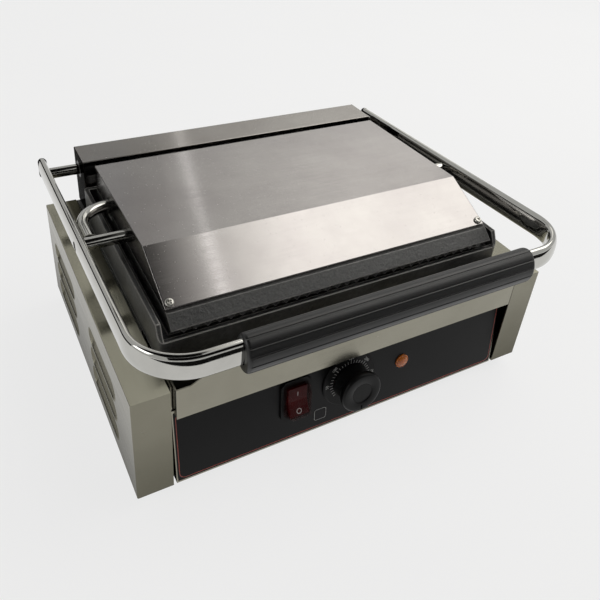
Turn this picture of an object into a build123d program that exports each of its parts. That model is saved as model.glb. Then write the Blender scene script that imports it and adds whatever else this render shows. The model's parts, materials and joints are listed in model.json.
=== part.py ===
from build123d import *
import os
from math import cos, floor, radians, sin, sqrt, tan

# Free-standing contact grill: a stainless body, a ribbed cast-iron plate below and another above,
# carried by a chromed U-shaped handle that swings on a rear tower.
# Millimetres and degrees. While modelling, y = 0 is the body's front face, z = 0 its bottom edge.

# Body and side shells
body_width = 430.0
body_depth = 312.0
shell_height = 113.0
shell_wrap = 32.2
sheet = 1.2
bend_radius = 1.0
louvre_length = 90.0
louvre_height = 23.2
louvre_dip = 5.0
louvre_pitch = 24.6
louvre_rows = 3
louvre_slit = 3.2
louvre_low_height = 24.0
louvre_front_inset = 49.0
louvre_group_gap = 56.0
rear_shelf = 22.0
vent_count = 11
vent_pitch = 14.0
vent_length = 44.0
vent_width = 4.0
foot_height = 15.0
foot_radius = 15.0
foot_edge = 3.0
foot_end_inset = 50.0
foot_screw_radius = 2.5

# Cast plates
plate_gap = 2.4
plate_front = 33.3
plate_wall = 4.5
wall_height = 36.0
rim_height = 21.3
rim_slope = 7.6
slab_lift = 4.0
slab_thickness = 12.5
rib_pitch = 10.5
lower_rib = 5.3
upper_rib = 6.5
rib_tip = 1.2
plate_gap_closed = 1.2
lid_side_gap = 6.4
lid_front_top = 45.2
lid_front_bottom = 32.5
lid_lip_rise = 1.1
lid_rib_setback = 5.0
lid_rear_gap = 14.5
lid_plate_thickness = 10.9
lid_rim = 6.0
lid_pocket = 6.4
cast_corner = 4.0
drain_width = 34.0
drain_length = 4.0

# Lid cover
cover_sheet = 1.0
cover_setback = 2.9
cover_lip = 2.8
cover_slope_length = 55.0
cover_bend_height = 28.8
cover_rear_height = 26.0
cover_screw_inset = 5.2
cover_screw_up = 4.9
screw_head_radius = 3.9
screw_head_height = 2.4
screw_radius = 2.0

# Rear tower and hinge
tower_inset = 2.3
tower_height = 63.2
tower_depth = 40.0
tower_overhang = 4.0
hinge_drop = 19.3
hinge_from_front = 24.5
shaft_radius = 5.75
bush_radius = 9.0
bush_flange_radius = 12.0
bush_flange = 3.0
bush_length = 16.0
running_fit = 0.05
spring_wire = 3.6
spring_turns = 12

# Handle
handle_rise_angle = 2.4
tube_height = 23.0
tube_width = 9.0
tube_wall = 1.2
left_arm_inset = 3.0
right_arm_inset = 16.0
bar_reach = 336.0
bend_centre_radius = 45.0
arm_tail = 15.0
tail_cap = 4.0
pin_reach = 151.0
pin_radius = 6.0
pin_engagement = 9.0
pin_screw_radius = 2.5
pin_screw_head_radius = 4.2
pin_screw_head = 6.0
pin_screw_length = 14.0
conduit_reach = 90.0
conduit_radius = 5.75
conduit_wall = 1.2
conduit_bend = 32.0
tilt_travel = 8.0
grip_end_gap = 71.8
grip_drop = 2.6
grip_height = 34.0
grip_depth = 25.0
grip_fit = 0.1
grip_flutes = 12
flute_radius = 1.1
flute_depth = 0.5
grip_end_round = 3.5

# Drip tray and control panel
tray_height = 32.5
tray_depth = 74.0
tray_end_height = 29.8
tray_rear_height = 24.0
tray_inset = 2.4
tray_left_gap = 4.4
tray_right_gap = 0.6
tray_clearance = 0.6
panel_tilt = 6.3
panel_setback = 0.6
panel_lip = 14.0
film = 0.4
film_margin = 2.2
film_foot = 4.0
dial_x = -6.8
control_height = 49.0
dial_radius = 29.0
dial_bore = 18.0
dial_thickness = 2.4
knob_face_radius = 21.0
knob_neck_radius = 16.6
knob_reach = 24.5
knob_lift = 3.2
knob_dish_radius = 11.0
knob_dish = 0.9
stem_radius = 3.0
thermostat_size = 36.0
thermostat_length = 30.0
switch_x = -64.6
bezel_width = 31.0
bezel_height = 45.0
bezel_thickness = 2.5
bezel_cut = 5.0
boot_width = 25.5
boot_height = 36.0
boot_top_width = 21.5
boot_top_height = 29.0
boot_rise = 10.6
boot_wall = 0.8
rocker_width = 19.0
rocker_length = 29.0
rocker_throw = 18.0
rocker_pivot_depth = 3.0
rocker_trunnion = 2.0
rocker_gap = 0.4
switch_body_depth = 26.0
lamp_x = 55.4
lamp_height = 47.0
lamp_radius = 7.4
lamp_rise = 3.6
lamp_body_radius = 5.5
lamp_body_length = 22.0

# Parts inside
heater_radius = 4.0
heater_passes = 5
heater_margin = 34.0
clamp_sheet = 1.2
bolt_radius = 3.0
bolt_head_radius = 5.0
bolt_head = 4.0
lower_insulation = 18.0
upper_insulation = 14.0
bulb_radius = 3.0
bulb_length = 80.0
capillary_radius = 1.2
gland_x = -110.0
gland_height = 40.0
gland_radius = 11.0
gland_bore = 5.5
gland_reach = 16.0
terminal_length = 44.0
terminal_depth = 22.0
terminal_height = 20.0
terminal_hole = 2.5
loom_radius = 3.5

# Places worked out from the driving dimensions
half_width = body_width / 2
shell_edge = half_width - shell_wrap
plate_half = shell_edge - plate_gap
plate_bottom = shell_height - 1.0
plate_inner = plate_half - plate_wall
slab_bottom = plate_bottom + slab_lift
lower_valley = slab_bottom + slab_thickness
lower_tip = lower_valley + lower_rib
wall_top = plate_bottom + wall_height
rim_top = plate_bottom + rim_height
lid_half = plate_inner - lid_side_gap
upper_tip = lower_tip + plate_gap_closed
upper_valley = upper_tip + upper_rib
lid_top = upper_valley + lid_plate_thickness
pocket_floor = lid_top - lid_pocket
tower_half = plate_half - tower_inset
left_arm = half_width - left_arm_inset
right_arm = half_width - right_arm_inset
grip_half_length = left_arm - grip_end_gap
tower_rear = body_depth + tower_overhang
tower_front = tower_rear - tower_depth
lid_rear = tower_front - lid_rear_gap
tower_top = shell_height + tower_height
plate_rear = tower_front - 3.0
hinge_y = tower_front + hinge_from_front
hinge_z = tower_top - hinge_drop
pan_bottom = sheet
pan_top = pan_bottom + sheet
tray_half = plate_half - tray_inset
bay_half = tray_half + tray_clearance
bay_edge = bay_half + sheet
tray_bottom = shell_height - tray_height
shelf_back = tray_depth + 2.0
frame_front = shelf_back + 2.0
frame_flange = 15.0
panel_length = tray_bottom / cos(radians(panel_tilt))
panel = Plane(
    origin=(0, panel_setback, 0),
    x_dir=(1, 0, 0),
    z_dir=(0, -cos(radians(panel_tilt)), sin(radians(panel_tilt))),
)


def block(x0, x1, y0, y1, z0, z1):
    return Pos((x0 + x1) / 2, (y0 + y1) / 2, (z0 + z1) / 2) * Box(x1 - x0, y1 - y0, z1 - z0)


def bar_x(x0, x1, y, z, radius):
    return Pos((x0 + x1) / 2, y, z) * Rot(0, 90, 0) * Cylinder(radius, x1 - x0)


def bar_y(y0, y1, x, z, radius):
    return Pos(x, (y0 + y1) / 2, z) * Rot(90, 0, 0) * Cylinder(radius, y1 - y0)


def bar_z(z0, z1, x, y, radius):
    return Pos(x, y, (z0 + z1) / 2) * Cylinder(radius, z1 - z0)


def on_panel(x, up, out=0.0):
    return panel * Pos(x, up, out)


def side_prism(points, x0, x1):
    # A side outline of (y, z) points, drawn out from x0 to x1.
    outline = make_face(Polyline(*[(0, y, z) for y, z in points], close=True))
    return Pos(x0, 0, 0) * extrude(outline, amount=x1 - x0, dir=(1, 0, 0))


def other_side(part):
    return mirror(part, about=Plane.YZ)


def both_sides(part):
    return Compound(children=[part, other_side(part)])


def in_handle(part):
    # The handle slopes up to the front, about the hinge's axis.
    return part.rotate(Axis((0, hinge_y, hinge_z), (1, 0, 0)), -handle_rise_angle)


def handle_point(reach):
    # Where a point of the handle's middle plane lies, at a reach in front of the hinge.
    rise = radians(handle_rise_angle)
    return hinge_y - reach * cos(rise), hinge_z + reach * sin(rise)


def capsule(y0, y1, x, z, radius):
    ends = [Pos(x, y, z) * Sphere(radius) for y in (y0, y1)]
    return bar_y(y0, y1, x, z, radius) + ends[0] + ends[1]


# Side shells, with three pressed louvres in each of two groups
def louvre_places():
    first = louvre_front_inset + louvre_length / 2
    for middle in (first, first + louvre_length + louvre_group_gap):
        for row in range(louvre_rows):
            yield middle, louvre_low_height + row * louvre_pitch


def left_shell():
    shell = block(-half_width, -shell_edge, 0, body_depth, 0, shell_height)
    bends = shell.edges().group_by(Axis.X)[0]
    shell = fillet(bends, bend_radius)
    shell -= block(
        -half_width + sheet, -shell_edge + 1, sheet, body_depth - sheet, sheet, shell_height - sheet
    )
    half = louvre_height / 2
    dish_radius = (half**2 + louvre_dip**2) / (2 * louvre_dip)
    dish_x = -half_width - dish_radius + louvre_dip
    run = louvre_length / 2 - half
    inside = block(-half_width, 0, 0, body_depth, 0, shell_height)
    for y, z in louvre_places():
        hollow = capsule(y - run, y + run, dish_x, z, dish_radius)
        dish = (capsule(y - run, y + run, dish_x, z, dish_radius + sheet) & inside) - hollow
        slit_low = z + half / 2
        slit = block(
            -half_width, -half_width + 3 * louvre_dip, y - run, y + run, slit_low, slit_low + louvre_slit
        )
        shell = shell - hollow + dish - slit
    return shell


def foot_places():
    x = shell_edge - foot_radius - foot_edge
    return [(sx * x, y) for sx in (-1, 1) for y in (foot_end_inset, body_depth - foot_end_inset)]


def base_pan():
    half = half_width - sheet - 0.3
    front = panel_setback + panel_lip / 2
    pan = block(-half, half, front, body_depth - sheet, pan_bottom, pan_top)
    upturn = (louvre_low_height - louvre_height / 2) / 2
    for x in (-half, half - sheet):
        pan += block(x, x + sheet, front, body_depth - sheet - 0.3, pan_bottom, pan_top + upturn)
    slot_count = 9
    slot_pitch = 2 * (shell_edge - 4 * foot_radius) / (slot_count - 1)
    for index in range(slot_count):
        x = (index - (slot_count - 1) / 2) * slot_pitch
        slot = Pos(x, body_depth / 2, pan_bottom) * extrude(SlotOverall(body_depth / 4, 5, rotation=90), sheet)
        pan -= slot
    for x, y in foot_places():
        pan -= bar_z(pan_bottom, pan_top, x, y, foot_screw_radius + 0.2)
    return pan


def feet():
    made = []
    for x, y in foot_places():
        profile = Polyline(
            (0, -foot_height, 0),
            (foot_radius - 2.5, -foot_height, 0),
            (foot_radius, pan_bottom, 0),
            (0, pan_bottom, 0),
            close=True,
        )
        foot = revolve(make_face(profile), Axis.Y)
        foot = Pos(x, y, 0) * Rot(90, 0, 0) * foot
        foot -= bar_z(-foot_height, pan_bottom, x, y, foot_screw_radius + 0.2)
        foot -= bar_z(-foot_height, -foot_height / 2, x, y, 2 * foot_screw_radius + 0.4)
        made.append(foot)
    return Compound(children=made)


def foot_screws():
    made = []
    for x, y in foot_places():
        screw = bar_z(-foot_height / 2, pan_top + foot_screw_radius * 2, x, y, foot_screw_radius)
        screw += bar_z(-foot_height / 2 - 3, -foot_height / 2, x, y, 2 * foot_screw_radius)
        nut = extrude(RegularPolygon(2 * foot_screw_radius, 6), foot_screw_radius * 1.6)
        made.append(screw + Pos(x, y, pan_top) * nut)
    return Compound(children=made)


# Frames under the lower plate, and the rear panel
def side_frame():
    outer = plate_half + sheet
    back = body_depth - 2 * sheet - 0.3
    frame = block(plate_half, outer, frame_front, back, pan_top, plate_bottom)
    frame += block(plate_half - frame_flange, outer, frame_front, back, plate_bottom - sheet, plate_bottom)
    frame += block(plate_half, outer + frame_flange, frame_front, back, pan_top, pan_top + sheet)
    for y in plate_bolt_rows():
        frame -= bar_z(plate_bottom - sheet, plate_bottom, plate_bolt_x(), y, bolt_radius + 0.2)
    return frame


def rear_panel():
    wall = block(-shell_edge + 0.3, shell_edge - 0.3, body_depth - sheet, body_depth, 0, plate_bottom)
    inner = plate_half - frame_flange - 1
    shelf = block(-inner, inner, body_depth - rear_shelf, body_depth, plate_bottom - sheet, plate_bottom)
    wall -= bar_y(body_depth - sheet, body_depth, gland_x, gland_height, gland_radius * 0.7)
    for index in range(vent_count):
        x = (index - (vent_count - 1) / 2) * vent_pitch + half_width / 4
        slot = extrude(SlotOverall(vent_length, vent_width, rotation=90), sheet)
        wall -= Pos(x, body_depth, shell_height / 2) * Rot(90, 0, 0) * slot
    return wall + shelf


# Lower cast plate: ribbed floor, side and rear walls, a low sloped front rim
def rib_outline(half, valley, tip, back):
    # Front view of a ribbed slab: V-shaped ribs from valley to tip, a flat face at back.
    count = floor((2 * half - rib_pitch) / rib_pitch)
    start = -count * rib_pitch / 2
    points = [(-half, 0, back), (-half, 0, valley), (start, 0, valley)]
    for index in range(count):
        middle = start + (index + 0.5) * rib_pitch
        points.append((middle - rib_tip / 2, 0, tip))
        points.append((middle + rib_tip / 2, 0, tip))
        points.append((middle + rib_pitch / 2, 0, valley))
    points += [(half, 0, valley), (half, 0, back)]
    return make_face(Polyline(*points, close=True))


def plate_bolt_x():
    return plate_half - frame_flange / 2


def plate_bolt_rows():
    return (frame_front + 22, plate_rear - 22)


def lower_plate():
    wall_outline = [
        (plate_front, plate_bottom),
        (plate_front, rim_top),
        (plate_front + rim_slope, wall_top),
        (plate_rear, wall_top),
        (plate_rear, plate_bottom),
    ]
    body = side_prism(wall_outline, -plate_half, plate_half)
    uprights = body.edges().filter_by(Axis.Z)
    body = fillet(uprights, min(cast_corner, plate_wall * 0.9))
    front_inner = plate_front + plate_wall
    rear_inner = plate_rear - plate_wall
    body -= block(-plate_inner, plate_inner, front_inner, rear_inner, lower_valley, wall_top + 1)
    body -= block(-plate_inner, plate_inner, 0, front_inner, rim_top, wall_top + 1)
    body -= block(-plate_inner, plate_inner, front_inner, rear_inner, plate_bottom - 1, slab_bottom)
    groove = plate_wall + drain_length
    rib_run = rear_inner - front_inner - 2 * groove
    ribs = extrude(rib_outline(plate_inner, lower_valley, lower_tip, lower_valley - 1), rib_run, dir=(0, 1, 0))
    body += Pos(0, front_inner + groove, 0) * ribs
    for x in (-plate_inner / 2, 0, plate_inner / 2):
        body -= block(
            x - drain_width / 2,
            x + drain_width / 2,
            front_inner + 1,
            front_inner + 1 + drain_length,
            slab_bottom - 1,
            lower_valley + 1,
        )
    for sx in (-1, 1):
        for y in plate_bolt_rows():
            body += bar_z(plate_bottom, slab_bottom + 1, sx * plate_bolt_x(), y, bolt_head_radius + 2)
            body -= bar_z(plate_bottom, slab_bottom + slab_thickness / 2, sx * plate_bolt_x(), y, bolt_radius)
    for x, y in clamp_bolt_places():
        body -= bar_z(slab_bottom, slab_bottom + slab_thickness / 2, x, y, bolt_radius)
    return body


def plate_bolts():
    made = []
    for sx in (-1, 1):
        for y in plate_bolt_rows():
            x = sx * plate_bolt_x()
            tip = slab_bottom + slab_thickness / 2
            bolt = bar_z(plate_bottom - sheet, tip, x, y, bolt_radius - running_fit)
            head = extrude(RegularPolygon(bolt_head_radius, 6), bolt_head)
            made.append(bolt + Pos(x, y, plate_bottom - sheet - bolt_head) * head)
    return Compound(children=made)


# Tubular heaters, each held to its plate by a clamp sheet and bolts, with an insulation board over it
heater_half = lid_half - heater_margin
heater_front = frame_front + heater_margin / 2
heater_back = lid_rear - heater_margin
heater_pitch = (heater_back - heater_front) / (heater_passes - 1)


def clamp_bolt_places():
    rows = (heater_front + heater_pitch * 0.5, heater_back - heater_pitch * 0.5)
    return [(sx * heater_half * 0.72, y) for sx in (-1, 1) for y in rows]


def heater(z):
    points = []
    for index in range(heater_passes):
        y = heater_front + index * heater_pitch
        side = -1 if index % 2 == 0 else 1
        points.append((side * heater_half, y, z))
        points.append((-side * heater_half, y, z))
    path = FilletPolyline(*points, radius=heater_pitch * 0.45)
    return sweep((path ^ 0) * Circle(heater_radius), path=path)


def clamp(z0, z1):
    plate = block(-heater_half, heater_half, heater_front, heater_back, z0, z1)
    for x, y in clamp_bolt_places():
        plate -= bar_z(z0, z1, x, y, bolt_radius + 0.2)
    return plate


def insulation(z0, z1, head0, head1):
    board = block(
        -heater_half - 8, heater_half + 8, heater_front - 8, heater_back + 8, z0, z1
    )
    for x, y in clamp_bolt_places():
        board -= bar_z(head0, head1, x, y, bolt_head_radius + 0.5)
    return board


def clamp_bolts(seat, tip, way):
    # The heads stand on the clamp at seat, the threads end in the plate at tip.
    made = []
    for x, y in clamp_bolt_places():
        bolt = bar_z(min(seat, tip), max(seat, tip), x, y, bolt_radius - running_fit)
        ends = sorted((seat, seat + way * bolt_head))
        head = bar_z(ends[0], ends[1], x, y, bolt_head_radius)
        made.append(bolt + head)
    return Compound(children=made)


lower_clamp_top = slab_bottom - 2 * heater_radius
lower_clamp_bottom = lower_clamp_top - clamp_sheet
upper_clamp_bottom = pocket_floor + 2 * heater_radius
upper_clamp_top = upper_clamp_bottom + clamp_sheet
bulb_y = heater_front + heater_pitch * 1.5
bulb_z = slab_bottom - bulb_radius


def thermostat_bulb():
    # Sensing bulb against the lower plate, with its thin tube led round the insulation to the thermostat.
    bulb = bar_x(-bulb_length / 2, bulb_length / 2, bulb_y, bulb_z, bulb_radius)
    side = heater_half + 8 + 4 * capillary_radius
    back = on_panel(dial_x, control_height, -sheet - thermostat_length).position
    lean = capillary_radius * tan(radians(panel_tilt)) + 0.1
    path = FilletPolyline(
        (bulb_length / 2 - 1, bulb_y, bulb_z),
        (side, bulb_y, bulb_z),
        (side, bulb_y, back.Z),
        (side, back.Y + 24, back.Z),
        (back.X, back.Y + 24, back.Z),
        (back.X, back.Y + lean, back.Z),
        radius=8,
    )
    return bulb + sweep((path ^ 0) * Circle(capillary_radius), path=path)


# Upper cast plate with its pocket, cover bosses and a notch for the conduit
pin_y, pin_z = handle_point(pin_reach)
conduit_y, conduit_z = handle_point(conduit_reach)
conduit_drop = (pin_reach - conduit_reach) * sin(radians(tilt_travel)) + conduit_radius + 0.6
conduit_slot = conduit_radius + 1.2
cover_front = lid_front_top + cover_setback
cover_bend = cover_front + cover_slope_length
slope_rise = cover_bend_height - cover_lip
slope_run = sqrt(cover_slope_length**2 + slope_rise**2)
slope_out = Vector(0, -slope_rise / slope_run, cover_slope_length / slope_run)
bracket_outer = lid_half - lid_rim - 0.3
bracket_inner = bracket_outer - pin_engagement


def front_screw_seat():
    # Middle of the left front screw's head, on the cover's sloped face.
    share = cover_screw_up / slope_run
    return Vector(
        -lid_half + cover_screw_inset,
        cover_front + share * cover_slope_length,
        lid_top + cover_lip + share * slope_rise,
    )


def rear_screw_seat():
    return Vector(-lid_half + 3 * cover_screw_inset, lid_rear, lid_top + cover_rear_height / 3)


def along(point, direction, start, end, radius):
    # A round bar along a direction, from start to end as measured from the point.
    seat = Plane(origin=point + direction * start, z_dir=direction)
    return seat * Pos(0, 0, (end - start) / 2) * Cylinder(radius, end - start)


boss_radius = screw_radius + 1.3
boss_length = 9.0


def upper_plate():
    # The ribs stop short of the front, under a lip whose edge is straight.
    lip = lid_lip_rise / lid_plate_thickness
    rib_start = lid_front_bottom + lid_rib_setback
    outline = [
        (lid_front_bottom + lip * (lid_front_top - lid_front_bottom), upper_valley + lid_lip_rise),
        (lid_front_top, lid_top),
        (lid_rear, lid_top),
        (lid_rear, upper_valley),
        (rib_start, upper_valley),
        (rib_start, upper_valley + lid_lip_rise),
    ]
    body = side_prism(outline, -lid_half, lid_half)
    rib_run = lid_rear - rib_start - 1
    ribs = extrude(rib_outline(lid_half, upper_valley, upper_tip, upper_valley + 1), rib_run, dir=(0, 1, 0))
    body += Pos(0, rib_start, 0) * ribs
    body -= block(
        -lid_half + lid_rim, lid_half - lid_rim, cover_front + 3 * lid_rim, lid_rear - 2 * lid_rim,
        pocket_floor, lid_top
    )
    body -= block(
        -lid_half, -lid_half + lid_rim + 6, conduit_y - conduit_slot, conduit_y + conduit_slot,
        pocket_floor, lid_top
    )
    limit = side_prism(cover_inner_outline(), -lid_half + cover_sheet, lid_half - cover_sheet)
    for seat, out in ((front_screw_seat(), slope_out), (rear_screw_seat(), Vector(0, 1, 0))):
        boss = along(seat, out, -boss_length - 3, -cover_sheet, boss_radius) & limit
        if out.Y > 0:
            foot = block(
                seat.X - boss_radius, seat.X + boss_radius, seat.Y - boss_length, lid_rear, lid_top, seat.Z
            )
            boss += foot & limit
        hole = along(seat, out, -boss_length, 0, screw_radius)
        body = body + boss + other_side(boss) - hole - other_side(hole)
    for x, y in clamp_bolt_places():
        body -= bar_z(pocket_floor - 3, pocket_floor, x, y, bolt_radius)
    return body


def cover_outline(base):
    return [
        (cover_front, base),
        (cover_front, lid_top + cover_lip),
        (cover_bend, lid_top + cover_bend_height),
        (lid_rear, lid_top + cover_rear_height),
        (lid_rear, base),
    ]


def cover_inner_outline():
    outline = make_face(Polyline(*[(0, y, z) for y, z in cover_outline(lid_top - 10)], close=True))
    inner = offset(outline, amount=-cover_sheet, kind=Kind.INTERSECTION)
    return [(corner.Y, corner.Z) for corner in ordered_corners(inner)]


def ordered_corners(face):
    wire = face.faces()[0].outer_wire()
    return [edge @ 0 for edge in wire.order_edges()]


def top_cover():
    body = side_prism(cover_outline(lid_top), -lid_half, lid_half)
    ridge = body.edges().filter_by_position(Axis.Z, lid_top + cover_lip + 0.5, lid_top + 2 * cover_bend_height)
    body = fillet(ridge, bend_radius)
    body -= side_prism(cover_inner_outline(), -lid_half + cover_sheet, lid_half - cover_sheet)
    body -= bar_x(-lid_half, -lid_half + cover_sheet, pin_y, pin_z, pin_radius + 0.6)
    body -= bar_x(lid_half - cover_sheet, lid_half, pin_y, pin_z, pin_radius + 0.6)
    slot = bar_x(-lid_half, -lid_half + cover_sheet, conduit_y, conduit_z, conduit_slot)
    slot += block(
        -lid_half, -lid_half + cover_sheet, conduit_y - conduit_slot, conduit_y + conduit_slot,
        lid_top, conduit_z
    )
    body -= slot
    for seat, out in ((front_screw_seat(), slope_out), (rear_screw_seat(), Vector(0, 1, 0))):
        hole = along(seat, out, -3, 3, screw_radius + 0.2)
        body = body - hole - other_side(hole)
    return body


def cover_screws():
    made = []
    for seat, out in ((front_screw_seat(), slope_out), (rear_screw_seat(), Vector(0, 1, 0))):
        head = along(seat, out, 0, screw_head_height, screw_head_radius)
        top = head.edges().filter_by(GeomType.CIRCLE).sort_by(lambda edge: (edge @ 0).dot(out))[-1]
        head = fillet(top, screw_head_height * 0.7)
        shank = along(seat, out, -boss_length, 0.5, screw_radius - running_fit)
        made += [head + shank, other_side(head + shank)]
    return Compound(children=made)


def pivot_bracket():
    # Bearing block under the cover for the pin on the left.
    width = 4 * pin_radius
    bracket = block(
        -bracket_outer, -bracket_inner, pin_y - width / 2, pin_y + width / 2,
        pocket_floor, pin_z + 1.6 * pin_radius
    )
    return bracket - bar_x(-bracket_outer, -bracket_inner, pin_y, pin_z, pin_radius + running_fit)


# Rear tower: a folded stainless box with the hinge shaft's bushes and counterbalance springs
def tower_shell():
    body = block(-tower_half, tower_half, tower_front, tower_rear, plate_bottom, tower_top)
    bends = body.edges().group_by(Axis.Z)[-1]
    body = fillet(bends, bend_radius)
    body -= block(
        -tower_half + sheet, tower_half - sheet, tower_front - 1, tower_rear - sheet,
        plate_bottom - 1, tower_top - sheet
    )
    body += block(-tower_half, tower_half, body_depth, tower_rear, plate_bottom, plate_bottom + sheet)
    for sx in (-1, 1):
        x0 = min(sx * tower_half, sx * (tower_half - sheet))
        body -= bar_x(x0, x0 + sheet, hinge_y, hinge_z, bush_radius + running_fit)
    return body


def left_bush():
    inside = -tower_half + sheet
    bush = bar_x(inside - sheet, inside - sheet + bush_length, hinge_y, hinge_z, bush_radius)
    bush += bar_x(inside, inside + bush_flange, hinge_y, hinge_z, bush_flange_radius)
    return bush - bar_x(-half_width, 0, hinge_y, hinge_z, shaft_radius + running_fit)


def left_spring():
    # Close-wound torsion spring round the hinge shaft, with one leg against the tower's back.
    inner = shaft_radius + 0.5
    start = -tower_half + bush_length + 2
    length = spring_turns * spring_wire
    sleeve = bar_x(start, start + length, hinge_y, hinge_z, inner + spring_wire * 0.6)
    for turn in range(spring_turns):
        x = start + (turn + 0.5) * spring_wire
        coil = Pos(x, hinge_y, hinge_z) * Rot(0, 90, 0) * Torus(inner + spring_wire / 2, spring_wire / 2)
        sleeve += coil
    sleeve -= bar_x(start - 1, start + length + 1, hinge_y, hinge_z, inner)
    leg_z = hinge_z + inner + spring_wire / 2
    leg = bar_y(hinge_y, tower_rear - sheet, start + spring_wire / 2, leg_z, spring_wire / 2)
    return sleeve + leg


# Handle: a flat-oval chromed tube bent to a U, with its shaft, pins, screws and conduit
# The handle has slid to the left on its shaft, so its right arm stands nearer to the lid.
def arm_inner(arm):
    return arm - tube_width / 2


def arm_outer(arm):
    return arm + tube_width / 2


def tube_path():
    front = hinge_y - bar_reach
    tail = hinge_y + arm_tail
    return FilletPolyline(
        (-left_arm, tail, hinge_z),
        (-left_arm, front, hinge_z),
        (right_arm, front, hinge_z),
        (right_arm, tail, hinge_z),
        radius=bend_centre_radius,
    )


def tube_section(inset):
    flat = SlotOverall(tube_height - 2 * inset, tube_width - 2 * inset, rotation=90)
    start = Plane(origin=(-left_arm, hinge_y + arm_tail, hinge_z), x_dir=(1, 0, 0), z_dir=(0, -1, 0))
    return start * flat


def pin_screw_cut(arm):
    # Through an arm on the left: wide enough outside for the screw's head, inside for its thread.
    y = hinge_y - pin_reach
    head = bar_x(-arm_outer(arm), -arm, y, hinge_z, pin_screw_head_radius + 0.4)
    return head + bar_x(-arm, -arm_inner(arm), y, hinge_z, pin_screw_radius + 0.1)


def handle_tube():
    path = tube_path()
    tube = sweep(tube_section(0), path=path) - sweep(tube_section(tube_wall), path=path)
    tube = tube - pin_screw_cut(left_arm) - other_side(pin_screw_cut(right_arm))
    return in_handle(tube)


def tail_caps():
    cap = extrude(tube_section(0), tail_cap, dir=(0, 1, 0))
    rim = cap.faces().sort_by(Axis.Y)[-1].edges()
    cap = fillet(rim, tail_cap * 0.9)
    cap += extrude(tube_section(tube_wall + 0.1), 8, dir=(0, -1, 0))
    return in_handle(Compound(children=[cap, Pos(left_arm + right_arm, 0, 0) * cap]))


def hinge_shaft():
    return bar_x(-arm_inner(left_arm), arm_inner(right_arm), hinge_y, hinge_z, shaft_radius)


def pivot_pin(arm):
    # Drawn for an arm on the left.
    y = hinge_y - pin_reach
    root = -arm_inner(arm)
    pin = bar_x(root, -bracket_inner, y, hinge_z, pin_radius)
    nose = pin.edges().group_by(Axis.X)[-1]
    pin = chamfer(nose, 0.8)
    return in_handle(pin - bar_x(root, root + pin_screw_length + 1, y, hinge_z, pin_screw_radius))


def pin_screw(arm):
    # Drawn for an arm on the left.
    y = hinge_y - pin_reach
    root = -arm_inner(arm)
    seat = root - tube_wall - running_fit
    screw = bar_x(seat, root + pin_screw_length, y, hinge_z, pin_screw_radius - running_fit)
    head = bar_x(seat - pin_screw_head, seat, y, hinge_z, pin_screw_head_radius)
    socket = Pos(seat - pin_screw_head, y, hinge_z) * Rot(0, 90, 0) * extrude(RegularPolygon(2.4, 6), 3)
    return in_handle(screw + head - socket)


def cable_conduit():
    # Elbow that leads the lid's wires from the left arm into the cover.
    x = -arm_inner(left_arm) + conduit_radius + 0.05
    y = hinge_y - conduit_reach
    path = FilletPolyline(
        (-lid_half + lid_rim, y, hinge_z),
        (x, y, hinge_z),
        (x, hinge_y - pin_reach + pin_radius + 0.3, hinge_z),
        radius=conduit_bend,
    )
    tube = sweep((path ^ 0) * Circle(conduit_radius), path=path)
    return in_handle(tube - sweep((path ^ 0) * Circle(conduit_radius - conduit_wall), path=path))


def handle_grip():
    front = hinge_y - bar_reach
    # The oval hangs a little lower than the tube that runs through it.
    level = hinge_z - grip_drop
    section = Plane(origin=(-grip_half_length, front, hinge_z), x_dir=(0, 1, 0), z_dir=(1, 0, 0))
    oval = section * Pos(0, -grip_drop) * Ellipse(grip_depth / 2, grip_height / 2)
    grip = extrude(oval, 2 * grip_half_length, dir=(1, 0, 0))
    rims = grip.faces().filter_by(Axis.X).edges()
    grip = fillet(rims, grip_end_round)
    bore = section * SlotOverall(tube_height + 2 * grip_fit, tube_width + 2 * grip_fit, rotation=90)
    grip -= extrude(bore, 2 * grip_half_length, dir=(1, 0, 0))
    flutes = []
    for index in range(grip_flutes):
        place = oval.face().outer_wire() @ ((index + 0.5) / grip_flutes)
        out = Vector(0, (place.Y - front) / grip_depth**2, (place.Z - level) / grip_height**2).normalized()
        middle = place + out * (flute_radius - flute_depth)
        flutes.append(bar_x(-grip_half_length, grip_half_length, middle.Y, middle.Z, flute_radius))
    return in_handle(grip - flutes)


# Drip tray and the tilted front panel under it
def drip_tray():
    body = block(-tray_half, tray_half, 0, tray_depth, tray_bottom, shell_height)
    body -= block(
        -tray_half + sheet, tray_half - sheet, sheet, tray_depth - sheet, tray_bottom + sheet, shell_height
    )
    body -= block(-tray_half, tray_half, sheet, tray_depth, tray_bottom + tray_end_height, shell_height)
    # The front strip reaches past the tray, nearer the right shell than the left.
    body += block(-shell_edge + tray_left_gap, shell_edge - tray_right_gap, 0, sheet, tray_bottom, shell_height)
    return body - block(
        -tray_half + sheet,
        tray_half - sheet,
        tray_depth / 2,
        tray_depth,
        tray_bottom + tray_rear_height,
        shell_height,
    )


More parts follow.
